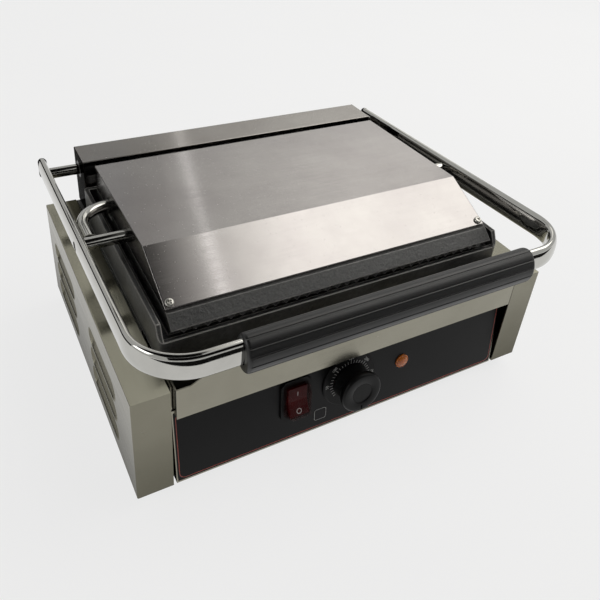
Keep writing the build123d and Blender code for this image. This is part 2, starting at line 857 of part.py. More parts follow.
def front_panel():
    lean = tan(radians(panel_tilt))
    thick = sheet / cos(radians(panel_tilt))
    outline = [
        (panel_setback, 0),
        (panel_setback + tray_bottom * lean, tray_bottom),
        (shelf_back, tray_bottom),
        (shelf_back, tray_bottom - sheet),
        (panel_setback + thick + (tray_bottom - sheet) * lean, tray_bottom - sheet),
        (panel_setback + thick + sheet * lean, sheet),
        (panel_setback + panel_lip, sheet),
        (panel_setback + panel_lip, 0),
    ]
    body = side_prism(outline, -bay_edge, bay_edge)
    cheek_top = tray_bottom + tray_end_height - 3
    cheek = [
        (panel_setback + thick + pan_top * lean, pan_top + 1),
        (panel_setback + thick + tray_bottom * lean, tray_bottom),
        (panel_setback + thick + tray_bottom * lean, cheek_top),
        (shelf_back, cheek_top),
        (shelf_back, pan_top + 1),
    ]
    side = side_prism(cheek, -bay_edge, -bay_half)
    body = body + side + other_side(side)
    return body - panel_openings()


def panel_openings():
    deep = 3 * sheet
    switch_cut = extrude(Rectangle(switch_cut_width, switch_cut_height), 2 * deep)
    switch = on_panel(switch_x, control_height, -deep) * switch_cut
    stem = on_panel(dial_x, control_height) * Cylinder(stem_radius + 1, 2 * deep)
    lamp = on_panel(lamp_x, lamp_height) * Cylinder(lamp_body_radius + 0.1, 2 * deep)
    screw_hole = Cylinder(screw_radius + 0.2, 2 * deep)
    screws = [on_panel(x, control_height) * screw_hole for x in thermostat_screw_places()]
    return switch + stem + lamp + screws[0] + screws[1]


switch_cut_width = bezel_width - 6
switch_cut_height = bezel_height - 8


def thermostat_screw_places():
    reach = dial_bore - screw_head_radius - 0.6
    return (dial_x - reach, dial_x + reach)


def control_overlay():
    width = 2 * (bay_edge - film_margin / 2)
    height = panel_length - film_margin - film_foot
    sheet_film = on_panel(0, film_foot + height / 2) * extrude(RectangleRounded(width, height, 2), film)
    return sheet_film - panel_openings()


def dial_ring():
    ring = Cylinder(dial_radius, dial_thickness) - Cylinder(dial_bore, dial_thickness)
    outer_top = ring.edges().filter_by(GeomType.CIRCLE).sort_by(Axis.Z)[-2:].sort_by(SortBy.RADIUS)[-1]
    ring = chamfer(outer_top, dial_thickness * 0.4)
    return on_panel(dial_x, control_height, film + dial_thickness / 2) * ring


def thermostat_body():
    body = Pos(0, 0, -thermostat_length / 2) * Box(thermostat_size, thermostat_size, thermostat_length)
    body = fillet(body.edges().filter_by(Axis.Z), thermostat_size / 12)
    body -= Pos(0, 0, -thermostat_length / 4) * Cylinder(stem_radius + running_fit, thermostat_length / 2)
    for x in thermostat_screw_places():
        body -= Pos(x - dial_x, 0, -4) * Cylinder(screw_radius, 8)
    return on_panel(dial_x, control_height, -sheet) * body


def thermostat_screws():
    made = []
    for x in thermostat_screw_places():
        head = Pos(0, 0, screw_head_height / 2) * Cylinder(screw_head_radius, screw_head_height)
        top = head.edges().filter_by(GeomType.CIRCLE).sort_by(Axis.Z)[-1]
        head = fillet(top, screw_head_height * 0.6)
        shank = Pos(0, 0, -3.5) * Cylinder(screw_radius - running_fit, 7.4)
        made.append(on_panel(x, control_height, film) * (head + shank))
    return Compound(children=made)


def knob():
    waist = (knob_lift + knob_reach) * 0.45
    outline = Polyline(
        (0, knob_lift, 0),
        (knob_neck_radius, knob_lift, 0),
        (knob_neck_radius - 0.8, waist, 0),
        (knob_face_radius - 0.6, knob_reach - 6.5, 0),
        (knob_face_radius, knob_reach - 3, 0),
        (knob_face_radius - 2.5, knob_reach, 0),
        (0, knob_reach, 0),
        close=True,
    )
    body = revolve(make_face(outline), Axis.Y)
    body = Rot(90, 0, 0) * body
    body -= Pos(0, 0, knob_reach) * Cylinder(knob_dish_radius, 2 * knob_dish)
    body -= Pos(0, -knob_face_radius + 2, knob_reach - 2) * Box(1.6, 5, 5)
    bore = stem_radius + running_fit
    body -= Pos(0, 0, (knob_lift + stem_end()) / 2) * Cylinder(bore, stem_end() - knob_lift)
    recess = screw_head_height + film + 0.4 - knob_lift
    if recess > 0:
        body -= Pos(0, 0, knob_lift + recess / 2) * Cylinder(knob_neck_radius - 1, recess)
    return on_panel(dial_x, control_height) * body


def stem_end():
    return knob_reach * 0.7


def thermostat_stem():
    start = -sheet - thermostat_length / 2 + 1
    return on_panel(dial_x, control_height, (start + stem_end()) / 2) * Cylinder(stem_radius, stem_end() - start)


# Mains switch: bezel and body, a rocker and a clear splash boot over it
def switch_body():
    frame = extrude(Rectangle(bezel_width, bezel_height), bezel_thickness)
    frame = chamfer(frame.edges().filter_by(Axis.Z), bezel_cut)
    body = Box(switch_cut_width - 0.4, switch_cut_height - 0.4, switch_body_depth)
    body = Pos(0, 0, -switch_body_depth / 2) * body
    body = Pos(0, 0, film) * frame + Pos(0, 0, film) * body
    well_depth = rocker_length * 0.32
    well = Pos(0, 0, film + bezel_thickness - well_depth) * extrude(
        Rectangle(rocker_width + 2 * rocker_gap, rocker_length + 2.4), well_depth
    )
    sockets = bar_x(-trunnion_reach(), trunnion_reach(), 0, rocker_pivot(), rocker_trunnion + running_fit)
    body = body - well - sockets
    return on_panel(switch_x, control_height) * body


def rocker_pivot():
    return film + bezel_thickness - rocker_pivot_depth


def trunnion_reach():
    return rocker_width / 2 + rocker_gap + 1.6


def rocker():
    half = rocker_length / 2
    outline = Polyline(
        (0, -half, 5.6),
        (0, -half, 8.2),
        (0, 0, 5.4),
        (0, half, 8.2),
        (0, half, 5.6),
        (0, half * 0.35, -2.4),
        (0, -half * 0.35, -2.4),
        close=True,
    )
    body = extrude(make_face(outline), rocker_width, dir=(1, 0, 0))
    body = Pos(-rocker_width / 2, 0, 0) * body
    body = Rot(-rocker_throw / 2, 0, 0) * body
    reach = trunnion_reach() - 0.1
    body += bar_x(-reach, reach, 0, 0, rocker_trunnion)
    return on_panel(switch_x, control_height, rocker_pivot()) * body


def boot_form(inset):
    base = RectangleRounded(boot_width - 2 * inset, boot_height - 2 * inset, 4 - inset)
    top = RectangleRounded(boot_top_width - 2 * inset, boot_top_height - 2 * inset, 4 - inset)
    form = loft([base, Pos(0, 0, boot_rise - inset) * top])
    return fillet(form.faces().sort_by(Axis.Z)[-1].edges(), 2.4 - inset)


def switch_boot():
    base = film + bezel_thickness
    return on_panel(switch_x, control_height, base) * (boot_form(0) - boot_form(boot_wall))


# Pilot lamp
def lamp_lens():
    cap = Cylinder(lamp_radius, lamp_rise, align=(Align.CENTER, Align.CENTER, Align.MIN))
    cap = fillet(cap.faces().sort_by(Axis.Z)[-1].edges(), lamp_rise * 0.75)
    return on_panel(lamp_x, lamp_height, film) * cap


def lamp_body():
    barrel = Pos(0, 0, film - lamp_body_length / 2) * Cylinder(lamp_body_radius, lamp_body_length)
    nut = Pos(0, 0, -sheet - 4) * extrude(RegularPolygon(lamp_body_radius + 3, 6), 4)
    return on_panel(lamp_x, lamp_height) * (barrel + nut)


# Mains inlet at the back: gland, terminal block and the lead from it to the switch
def cable_gland():
    outer = bar_y(body_depth, body_depth + gland_reach * 0.35, gland_x, gland_height, gland_radius)
    cap_start = body_depth + gland_reach * 0.35
    cap_plane = Plane(origin=(gland_x, cap_start, gland_height), z_dir=(0, 1, 0))
    hexagon = cap_plane * RegularPolygon(gland_radius, 6)
    outer += extrude(hexagon, gland_reach * 0.35, dir=(0, 1, 0))
    neck_start = cap_start + gland_reach * 0.35
    outer += bar_y(neck_start, body_depth + gland_reach, gland_x, gland_height, gland_radius * 0.78)
    outer += bar_y(body_depth - sheet - 8, body_depth, gland_x, gland_height, gland_radius * 0.7 - 0.1)
    nut = bar_y(body_depth - sheet - 5, body_depth - sheet, gland_x, gland_height, gland_radius * 0.95)
    return outer + nut - bar_y(0, body_depth + gland_reach, gland_x, gland_height, gland_bore)


def terminal_block():
    back = body_depth - sheet - 24
    body = block(
        gland_x - terminal_length / 2, gland_x + terminal_length / 2, back - terminal_depth, back,
        pan_top, pan_top + terminal_height
    )
    for index in range(3):
        x = gland_x + (index - 1) * terminal_length / 3
        hole_y = back - terminal_depth / 2
        body -= bar_z(pan_top + terminal_height / 2, pan_top + terminal_height, x, hole_y, terminal_hole)
    return body


def power_loom():
    start = body_depth - sheet - 24 - terminal_depth
    end = on_panel(switch_x, control_height, film - switch_body_depth).position
    height = pan_top + terminal_height / 2
    lean = loom_radius * tan(radians(panel_tilt)) + 0.1
    path = FilletPolyline(
        (gland_x, start, height),
        (gland_x, end.Y + 40, height),
        (end.X, end.Y + 40, height),
        (end.X, end.Y + 40, end.Z),
        (end.X, end.Y + lean, end.Z),
        radius=12,
    )
    return sweep((path ^ 0) * Circle(loom_radius), path=path)


nodes = {
    "left_shell": left_shell(),
    "right_shell": other_side(left_shell()),
    "base_pan": base_pan(),
    "feet": feet(),
    "foot_screws": foot_screws(),
    "left_frame": other_side(side_frame()),
    "right_frame": side_frame(),
    "rear_panel": rear_panel(),
    "lower_plate": lower_plate(),
    "plate_bolts": plate_bolts(),
    "lower_heater": heater(slab_bottom - heater_radius),
    "lower_clamp": clamp(lower_clamp_bottom, lower_clamp_top),
    "lower_clamp_bolts": clamp_bolts(lower_clamp_bottom, slab_bottom + slab_thickness / 2, -1),
    "lower_insulation": insulation(
        lower_clamp_bottom - lower_insulation, lower_clamp_bottom,
        lower_clamp_bottom - bolt_head, lower_clamp_bottom
    ),
    "thermostat_bulb": thermostat_bulb(),
    "upper_plate": upper_plate(),
    "upper_heater": heater(pocket_floor + heater_radius),
    "upper_clamp": clamp(upper_clamp_bottom, upper_clamp_top),
    "upper_clamp_bolts": clamp_bolts(upper_clamp_top, pocket_floor - 3, 1),
    "upper_insulation": insulation(
        upper_clamp_top, upper_clamp_top + upper_insulation, upper_clamp_top, upper_clamp_top + bolt_head
    ),
    "top_cover": top_cover(),
    "cover_screws": cover_screws(),
    "pivot_brackets": both_sides(pivot_bracket()),
    "tower_shell": tower_shell(),
    "hinge_bushes": both_sides(left_bush()),
    "balance_springs": both_sides(left_spring()),
    "hinge_shaft": hinge_shaft(),
    "handle_tube": handle_tube(),
    "handle_tail_caps": tail_caps(),
    "handle_grip": handle_grip(),
    "left_pivot_pin": pivot_pin(left_arm),
    "right_pivot_pin": other_side(pivot_pin(right_arm)),
    "pin_screws": Compound(children=[pin_screw(left_arm), other_side(pin_screw(right_arm))]),
    "cable_conduit": cable_conduit(),
    "drip_tray": drip_tray(),
    "front_panel": front_panel(),
    "control_overlay": control_overlay(),
    "dial_ring": dial_ring(),
    "thermostat_body": thermostat_body(),
    "thermostat_screws": thermostat_screws(),
    "thermostat_stem": thermostat_stem(),
    "thermostat_knob": knob(),
    "switch_body": switch_body(),
    "switch_rocker": rocker(),
    "switch_boot": switch_boot(),
    "lamp_lens": lamp_lens(),
    "lamp_body": lamp_body(),
    "cable_gland": cable_gland(),
    "terminal_block": terminal_block(),
    "power_loom": power_loom(),
}

# The finished part stands on its feet, with its origin under the middle of its outline.
left_most = -arm_outer(left_arm)
right_most = half_width
front_most = handle_point(bar_reach)[0] - grip_depth / 2
rear_most = body_depth + gland_reach
to_origin = Pos(-(left_most + right_most) / 2, -(front_most + rear_most) / 2, foot_height)

os.makedirs("parts", exist_ok=True)
for name, shape in nodes.items():
    export_step(to_origin * shape, f"parts/{name}.step")
print("hinge axis", (to_origin * Pos(0, hinge_y, hinge_z)).position)
print("pivot pins", (to_origin * Pos(0, pin_y, pin_z)).position)
print("knob axis", (to_origin * on_panel(dial_x, control_height)).position, panel.z_dir)
print("rocker axis", (to_origin * on_panel(switch_x, control_height, rocker_pivot())).position)
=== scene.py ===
import json
import math
import bmesh
import bpy
from mathutils import Matrix, Vector


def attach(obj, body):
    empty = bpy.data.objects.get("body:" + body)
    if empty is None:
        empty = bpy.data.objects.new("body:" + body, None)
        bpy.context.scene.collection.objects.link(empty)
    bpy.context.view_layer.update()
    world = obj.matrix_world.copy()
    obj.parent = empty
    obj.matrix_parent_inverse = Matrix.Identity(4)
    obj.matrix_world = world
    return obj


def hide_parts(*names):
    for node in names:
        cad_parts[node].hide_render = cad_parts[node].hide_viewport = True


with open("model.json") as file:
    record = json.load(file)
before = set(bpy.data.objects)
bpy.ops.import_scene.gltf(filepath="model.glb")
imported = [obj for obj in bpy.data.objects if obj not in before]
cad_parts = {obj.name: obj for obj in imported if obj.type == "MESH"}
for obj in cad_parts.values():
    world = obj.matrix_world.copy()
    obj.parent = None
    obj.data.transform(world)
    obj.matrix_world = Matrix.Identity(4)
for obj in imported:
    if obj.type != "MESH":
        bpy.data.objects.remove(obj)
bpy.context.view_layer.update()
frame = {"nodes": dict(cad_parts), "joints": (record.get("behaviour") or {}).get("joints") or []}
nodes = frame["nodes"]
joints = {joint["name"]: joint for joint in frame["joints"]}
mm = 0.001
noiseLow, noiseHigh = 0.3, 0.7  # most of a noise texture's values lie between these
print("frame loaded:", len(nodes), "nodes")


# shared tools

def linear(hexColour):
    channels = [int(hexColour[i:i + 2], 16) / 255 for i in (1, 3, 5)]
    return [c / 12.92 if c <= 0.04045 else ((c + 0.055) / 1.055) ** 2.4 for c in channels] + [1.0]


def addNode(tree, kind, settings=None, links=None):
    node = tree.nodes.new(kind)
    for key, value in (settings or {}).items():
        if isinstance(key, int) or key in node.inputs:
            node.inputs[key].default_value = value
        else:
            setattr(node, key, value)
    for key, source in (links or {}).items():
        # a node given whole stands for its first output
        tree.links.new(getattr(source, "outputs", [source])[0], node.inputs[key])
    return node


def newMaterial(name):
    # an empty material, its node tree and the coordinates fixed to the object
    material = bpy.data.materials.new(name)
    material.use_nodes = True
    tree = material.node_tree
    tree.nodes.clear()
    return material, tree, addNode(tree, "ShaderNodeTexCoord").outputs["Object"]


def setRamp(ramp, stops):
    elements = ramp.color_ramp.elements
    while len(elements) < len(stops):
        elements.new(1.0)
    for element, (place, colour) in zip(elements, stops):
        element.position = place
        element.color = linear(colour)


def meshFrom(name, bm, matrix=None):
    bmesh.ops.recalc_face_normals(bm, faces=bm.faces)
    if matrix is not None:
        bm.transform(matrix)
    mesh = bpy.data.meshes.new(name)
    bm.to_mesh(mesh)
    bm.free()
    return mesh


def newPiece(name, bm, matrix, body, material, replaced=(), smooth=True):
    mesh = meshFrom(name, bm, matrix)
    piece = bpy.data.objects.new(name, mesh)
    bpy.context.scene.collection.objects.link(piece)
    mesh.materials.append(material)
    for polygon in mesh.polygons:
        polygon.use_smooth = smooth
    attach(piece, body)
    if replaced:
        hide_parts(*replaced)
    return piece


# materials

def brushedStainless(name, grainAxis, settings):
    # Stainless sheet, ground with a belt: fine lines one way, so highlights smear across them.
    material, tree, coords = newMaterial(name)
    across = 1 / (settings["grainWidth"] * mm)
    along = 1 / (settings["grainLength"] * mm)
    scales = [along if axis == grainAxis else across for axis in "XYZ"]
    stretched = addNode(tree, "ShaderNodeMapping", {"Scale": scales}, {"Vector": coords})
    grain = addNode(
        tree, "ShaderNodeTexNoise", {"Scale": 1.0, "Detail": 3.0, "Roughness": 0.6},
        {"Vector": stretched},
    )
    cloud = addNode(
        tree, "ShaderNodeTexNoise",
        {"Scale": 1 / (settings["smudgeSize"] * mm), "Detail": 4.0, "Roughness": 0.55},
        {"Vector": coords},
    )
    specks = addNode(
        tree, "ShaderNodeTexVoronoi", {"Scale": 1 / (settings["speckSpacing"] * mm), "Randomness": 1.0},
        {"Vector": coords},
    )
    speckMask = addNode(
        tree, "ShaderNodeMapRange",
        {
            "From Min": settings["speckSize"] / settings["speckSpacing"], "From Max": 0.0,
            "To Max": settings["speckCover"],
        },
        {"Value": specks},
    )
    smoother, duller = 0.03, 0.04  # how far the roughness drifts from line to line
    rough = addNode(
        tree, "ShaderNodeMapRange",
        {
            "From Min": noiseLow, "From Max": noiseHigh,
            "To Min": settings["roughness"] - smoother, "To Max": settings["roughness"] + duller,
        },
        {"Value": grain},
    )
    rougher = addNode(
        tree, "ShaderNodeMath", {"operation": "MULTIPLY_ADD", 1: settings["speckRoughness"]},
        {0: speckMask, 2: rough},
    )
    tint = addNode(tree, "ShaderNodeValToRGB", {}, {"Fac": cloud})
    setRamp(tint, [(noiseLow, settings["dark"]), (noiseHigh, settings["light"])])
    # painted shade: ambient occlusion darkens the colour and the glancing shine in the pressed hollows
    hollow = addNode(
        tree, "ShaderNodeAmbientOcclusion",
        {"samples": 8, "only_local": True, "Distance": settings["hollowDepth"] * mm},
    )
    hollowShade = addNode(
        tree, "ShaderNodeMapRange", {"From Min": 1.0, "From Max": 0.6, "To Max": settings["hollowShadeStrength"]},
        {"Value": hollow.outputs["AO"]},
    )
    # painted shade and dark reflection on the end faces, found by their normal
    geometry = addNode(tree, "ShaderNodeNewGeometry")
    facing = addNode(tree, "ShaderNodeSeparateXYZ", {}, {"Vector": geometry.outputs["Normal"]})
    endFace = addNode(tree, "ShaderNodeMath", {"operation": "ABSOLUTE"}, {0: facing.outputs["X"]})
    endFaceShade = addNode(
        tree, "ShaderNodeMapRange", {"From Min": 0.4, "From Max": 0.9, "To Max": settings["endShade"]},
        {"Value": endFace},
    )
    # painted light: faces that look up are made lighter
    upFace = addNode(
        tree, "ShaderNodeMapRange", {"From Min": 0.5, "From Max": 0.9, "To Max": settings["topLightStrength"]},
        {"Value": facing.outputs["Z"]},
    )
    topLit = addNode(
        tree, "ShaderNodeMix", {"data_type": "RGBA", 7: linear(settings["topLightColour"])},
        {0: upFace, 6: tint},
    )
    # painted shadow of the lid and the arms, on the tops beside the plate behind the pins
    place = addNode(tree, "ShaderNodeSeparateXYZ", {}, {"Vector": coords})
    sideways = addNode(tree, "ShaderNodeMath", {"operation": "ABSOLUTE"}, {0: place.outputs["X"]})
    besidePlate = addNode(
        tree, "ShaderNodeMapRange",
        {"From Min": settings["splashEdge"] * mm, "From Max": settings["splashFull"] * mm},
        {"Value": sideways},
    )
    behindPins = addNode(
        tree, "ShaderNodeMapRange",
        {
            "From Min": settings["splashFront"] * mm, "From Max": settings["splashBack"] * mm,
            "To Max": settings["splash"],
        },
        {"Value": place.outputs["Y"]},
    )
    splashArea = addNode(
        tree, "ShaderNodeMath", {"operation": "MULTIPLY"},
        {0: besidePlate, 1: behindPins},
    )
    splashed = addNode(tree, "ShaderNodeMath", {"operation": "MULTIPLY"}, {0: splashArea, 1: upFace})
    # and the colour darkens towards the table
    lowDarkening = addNode(
        tree, "ShaderNodeMapRange",
        {
            "From Min": settings["lowDarkeningTop"] * mm, "From Max": settings["lowDarkeningBottom"] * mm,
            "To Max": settings["lowDarkeningStrength"],
        },
        {"Value": place.outputs["Z"]},
    )
    # the painted shade, the painted shadow and the darkening towards the table share one dark tint
    darkening = hollowShade
    for other in (endFaceShade, splashed, lowDarkening):
        darkening = addNode(tree, "ShaderNodeMath", {"operation": "MAXIMUM"}, {0: darkening, 1: other})
    darkened = addNode(
        tree, "ShaderNodeMix", {"data_type": "RGBA", 7: linear(settings["darkTint"])},
        {0: darkening, 6: topLit.outputs[2]},
    )
    # the glancing shine takes the same darkening too
    glance = addNode(
        tree, "ShaderNodeMix",
        {"data_type": "RGBA", 6: linear("#ffffff"), 7: linear(settings["darkTint"])}, {0: darkening},
    )
    dusty = addNode(
        tree, "ShaderNodeMix", {"data_type": "RGBA", 7: linear(settings["dust"])},
        {0: speckMask, 6: darkened.outputs[2]},
    )
    metal = addNode(tree, "ShaderNodeMath", {"operation": "SUBTRACT", 0: 1.0}, {1: speckMask})
    bump = addNode(
        tree, "ShaderNodeBump", {"Strength": settings["bump"], "Distance": settings["grainDepth"] * mm},
        {"Height": grain},
    )
    lean = 0.02  # end faces square to the grain take it along the next axis instead
    ways = {axis: 1.0 if axis == grainAxis else lean for axis in "XY"}
    grainWay = addNode(tree, "ShaderNodeCombineXYZ", ways)
    shader = addNode(
        tree, "ShaderNodeBsdfPrincipled",
        {"Anisotropic": settings["anisotropy"], "Anisotropic Rotation": 0.25},
        {
            "Base Color": dusty.outputs[2],
            "Specular Tint": glance.outputs[2],
            "Metallic": metal,
            "Roughness": rougher,
            "Normal": bump,
            "Tangent": grainWay,
        },
    )
    addNode(tree, "ShaderNodeOutputMaterial", {}, {"Surface": shader})
    return material


def platedMetal(name, settings):
    # Plated or bare metal: a haze in soft patches, duller and darker where it is thick.
    material, tree, coords = newMaterial(name)
    haze = addNode(
        tree, "ShaderNodeTexNoise",
        {"Scale": 1 / (settings["hazeSize"] * mm), "Detail": 5.0, "Roughness": 0.6},
        {"Vector": coords},
    )
    rough = addNode(
        tree, "ShaderNodeMapRange",
        {
            "From Min": 0.35, "From Max": 0.7,
            "To Min": settings["roughness"], "To Max": settings["hazeRoughness"],
        },
        {"Value": haze},
    )
    tint = addNode(tree, "ShaderNodeValToRGB", {}, {"Fac": haze})
    setRamp(tint, [(0.35, settings["light"]), (0.75, settings["dark"])])
    shader = addNode(
        tree, "ShaderNodeBsdfPrincipled", {"Metallic": 1.0},
        {"Base Color": tint, "Roughness": rough},
    )
    addNode(tree, "ShaderNodeOutputMaterial", {}, {"Surface": shader})
    return material


def seasonedIron(name, settings):
    # Sand-cast iron, oiled and baked black: pitted skin, edges lighter, partly rubbed and partly a painted
    # highlight.
    material, tree, coords = newMaterial(name)
    sand = addNode(
        tree, "ShaderNodeTexNoise",
        {"Scale": 1 / (settings["sandGrain"] * mm), "Detail": 6.0, "Roughness": 0.65},
        {"Vector": coords},
    )
    pits = addNode(
        tree, "ShaderNodeTexVoronoi", {"Scale": 1 / (settings["pitSpacing"] * mm), "feature": "SMOOTH_F1"},
        {"Vector": coords},
    )
    relief = addNode(
        tree, "ShaderNodeMath", {"operation": "MULTIPLY_ADD", 1: settings["pitShare"]},
        {0: pits, 2: sand},
    )
    oil = addNode(
        tree, "ShaderNodeTexNoise", {"Scale": 1 / (settings["oilPatch"] * mm), "Detail": 3.0},
        {"Vector": coords},
    )
    geometry = addNode(tree, "ShaderNodeNewGeometry")
    rounded = addNode(tree, "ShaderNodeBevel", {"samples": 6, "Radius": settings["edgeWear"] * mm})
    turned = addNode(
        tree, "ShaderNodeVectorMath", {"operation": "DOT_PRODUCT"},
        {0: rounded, 1: geometry.outputs["Normal"]},
    )
    # pale edges: partly rubbed wear, partly a painted highlight where the rounded edges would catch the light
    edgeWearAndHighlight = addNode(
        tree, "ShaderNodeMapRange", {"From Min": 0.998, "From Max": 0.95, "To Max": settings["wearAndHighlight"]},
        {"Value": turned.outputs["Value"]},
    )
    # the sand's grain stays in the baked skin as lighter and darker flecks
    flecks = addNode(
        tree, "ShaderNodeMath", {"operation": "MULTIPLY_ADD", 1: settings["oilShare"]},
        {0: oil, 2: sand},
    )
    base = addNode(tree, "ShaderNodeValToRGB", {}, {"Fac": flecks})
    setRamp(base, [(0.6, settings["dark"]), (1.0, settings["light"])])
    wornAndHighlitEdges = addNode(
        tree, "ShaderNodeMix", {"data_type": "RGBA", 7: linear(settings["edgeWearAndHighlight"])},
        {0: edgeWearAndHighlight, 6: base},
    )
    drift = 0.1  # the oil leaves some patches shinier
    rough = addNode(
        tree, "ShaderNodeMapRange",
        {
            "From Min": noiseLow, "From Max": noiseHigh,
            "To Min": settings["roughness"] - drift, "To Max": settings["roughness"] + drift,
        },
        {"Value": oil},
    )
    bump = addNode(
        tree, "ShaderNodeBump", {"Strength": settings["bump"], "Distance": settings["pitDepth"] * mm},
        {"Height": relief, "Normal": rounded},
    )
    shader = addNode(
        tree, "ShaderNodeBsdfPrincipled", {"IOR": 1.6, "Specular IOR Level": settings["specular"]},
        {
            "Base Color": wornAndHighlitEdges.outputs[2],
            "Roughness": rough,
            "Normal": bump,
        },
    )
    addNode(tree, "ShaderNodeOutputMaterial", {}, {"Surface": shader})
    return material


def mouldedPolymer(name, settings):
    # Moulded plastic, rubber, pressed board or ink: colour in soft patches and a faint surface texture.
    material, tree, coords = newMaterial(name)
    texture = addNode(
        tree, "ShaderNodeTexNoise", {"Scale": 1 / (settings["textureSize"] * mm), "Detail": 2.0},
        {"Vector": coords},
    )
    patch = addNode(
        tree, "ShaderNodeTexNoise", {"Scale": 1 / (settings["patchSize"] * mm), "Detail": 4.0},
        {"Vector": coords},
    )
    tint = addNode(tree, "ShaderNodeValToRGB", {}, {"Fac": patch})
    setRamp(tint, [(noiseLow, settings["dark"]), (0.72, settings["light"])])
    smoother, duller = 0.06, 0.08  # how far the roughness drifts from patch to patch
    rough = addNode(
        tree, "ShaderNodeMapRange",
        {
            "From Min": noiseLow, "From Max": noiseHigh,
            "To Min": settings["roughness"] - smoother, "To Max": settings["roughness"] + duller,
        },
        {"Value": patch},
    )
    textureDepth = 0.1
    bump = addNode(
        tree, "ShaderNodeBump", {"Strength": settings["bump"], "Distance": textureDepth * mm},
        {"Height": texture},
    )
    shader = addNode(
        tree, "ShaderNodeBsdfPrincipled",
        {
            "IOR": settings["ior"], "Specular IOR Level": settings.get("specular", 0.5),
            "Coat Weight": settings.get("coat", 0.0), "Coat Roughness": 0.08,
            "Alpha": settings.get("alpha", 1.0),
        },
        {
            "Base Color": tint,
            "Roughness": rough,
            "Normal": bump,
        },
    )
    addNode(tree, "ShaderNodeOutputMaterial", {}, {"Surface": shader})
    return material


# sizes in the materials' settings are in mm
steelSettings = {
    "grainWidth": 1.1,  # belt lines are about 0.1 mm, drawn coarser so that they show
    "grainLength": 70.0,
    "grainDepth": 0.05,
    "smudgeSize": 60.0,
    "speckSpacing": 4.2,
    "speckSize": 0.56,
    "speckCover": 0.6,
    "speckRoughness": 0.5,
    "roughness": 0.165,
    "anisotropy": 0.94,
    "bump": 0.16,
    "hollowDepth": 12.0,
    "hollowShadeStrength": 0.0,
    "endShade": 0.0,
    "darkTint": "#3a382f",
    "topLightStrength": 0.0,
    "topLightColour": "#b4b19f",
    "splash": 0.86,
    "splashEdge": 198.0,  # how far out from the middle it ends, and where it is full
    "splashFull": 190.0,
    "splashFront": -4.0,  # where it starts behind the pins, and where it is full
    "splashBack": 14.0,
    "lowDarkeningStrength": 0.0,
    "lowDarkeningTop": 112.0,
    "lowDarkeningBottom": 20.0,
    "dust": "#b9b6ae",
    "dark": "#999594",
    "light": "#a3a09e",
}
# bright sheet with fine dust, and painted shade dulling its end faces
coverSteel = brushedStainless("BrushedStainlessAcross", "X", {**steelSettings, "endShade": 0.45})
# a warmer, darker copy of the same steel: painted shade on the front faces
frontSettings = {**steelSettings, "speckSpacing": 14.0, "dark": "#8b887b", "light": "#959285"}
frontSteel = brushedStainless("BrushedStainlessShadedFront", "X", frontSettings)
# the same, with painted black shade on its end faces
panelSteel = brushedStainless("BrushedStainlessBlackShadedEnds", "X", {
    **frontSettings, "endShade": 0.94, "darkTint": "#1c1b18",
})
# a little darker, with painted shade and dark reflection blackening its end faces
towerSteel = brushedStainless("BrushedStainlessShadedEnds", "X", {
    **steelSettings, "endShade": 0.92, "darkTint": "#1c1b18", "dark": "#8d8985", "light": "#96938f",
})
# a darker olive copy of the same steel, as painted shade on the sides, with painted shade in its pressed
# hollows, painted light on its tops, a painted shadow behind the pins, and darker towards the table
sideSteel = brushedStainless("BrushedStainlessFrontToBack", "Y", {
    **steelSettings, "roughness": 0.21, "speckSpacing": 14.0, "hollowShadeStrength": 0.8, "topLightStrength": 1.0, "lowDarkeningStrength": 0.42,
    "dark": "#7f7c6e", "light": "#898678",
})
# hard mirror with sharp light and dark bands
chromePlate = platedMetal("PolishedChromePlate", {
    "hazeSize": 25.0, "roughness": 0.05, "hazeRoughness": 0.1, "light": "#c1c0bb", "dark": "#b8b7b2",
})
# bright but milky
zincPlate = platedMetal("BrightZincPlate", {
    "hazeSize": 6.0, "roughness": 0.25, "hazeRoughness": 0.38, "light": "#c3c1bb", "dark": "#aaa8a2",
})
# dull grey in cloudy patches
galvanisedSheet = platedMetal("GalvanisedSheet", {
    "hazeSize": 14.0, "roughness": 0.38, "hazeRoughness": 0.52, "light": "#9a9c9d", "dark": "#84878a",
})
# the same, darkened and dulled beside the hot plate
heatedSheet = platedMetal("HeatDulledZincSheet", {
    "hazeSize": 14.0, "roughness": 0.42, "hazeRoughness": 0.56, "light": "#62625f", "dark": "#504f4c",
})
# matt brown-grey oxide
heaterSheath = platedMetal("OxidisedHeaterSheath", {
    "hazeSize": 9.0, "roughness": 0.42, "hazeRoughness": 0.6, "light": "#6c6762", "dark": "#4f4a46",
})
# nearly black with a wet sheen
oiledSpringSteel = platedMetal("OiledSpringSteel", {
    "hazeSize": 7.0, "roughness": 0.35, "hazeRoughness": 0.5, "light": "#3a3a3a", "dark": "#2a2a2a",
})
# warm red metal with a soft shine
drawnCopper = platedMetal("DrawnCopper", {
    "hazeSize": 7.0, "roughness": 0.25, "hazeRoughness": 0.4, "light": "#c07a52", "dark": "#a2623f",
})
# dull black, flecked, with pale edges, partly rubbed and partly a painted highlight; the sand is finer than
# this, drawn coarser so that it shows
ironSettings = {
    "sandGrain": 2.2, "pitSpacing": 4.5, "pitDepth": 0.35, "pitShare": 0.5, "oilPatch": 45.0,
    "oilShare": 0.6, "roughness": 0.44, "bump": 1.0, "edgeWear": 2.0, "wearAndHighlight": 1.0,
    "specular": 0.55, "dark": "#0f0f0f", "light": "#3a3a39", "edgeWearAndHighlight": "#a8a6a2",
}
blackIron = seasonedIron("SeasonedCastIron", ironSettings)
# the lid's plate is scraped less, so its edges stay darker, with less painted highlight too
lidIron = seasonedIron("SeasonedCastIronLid", {**ironSettings, "edgeWear": 1.4, "wearAndHighlight": 0.45})
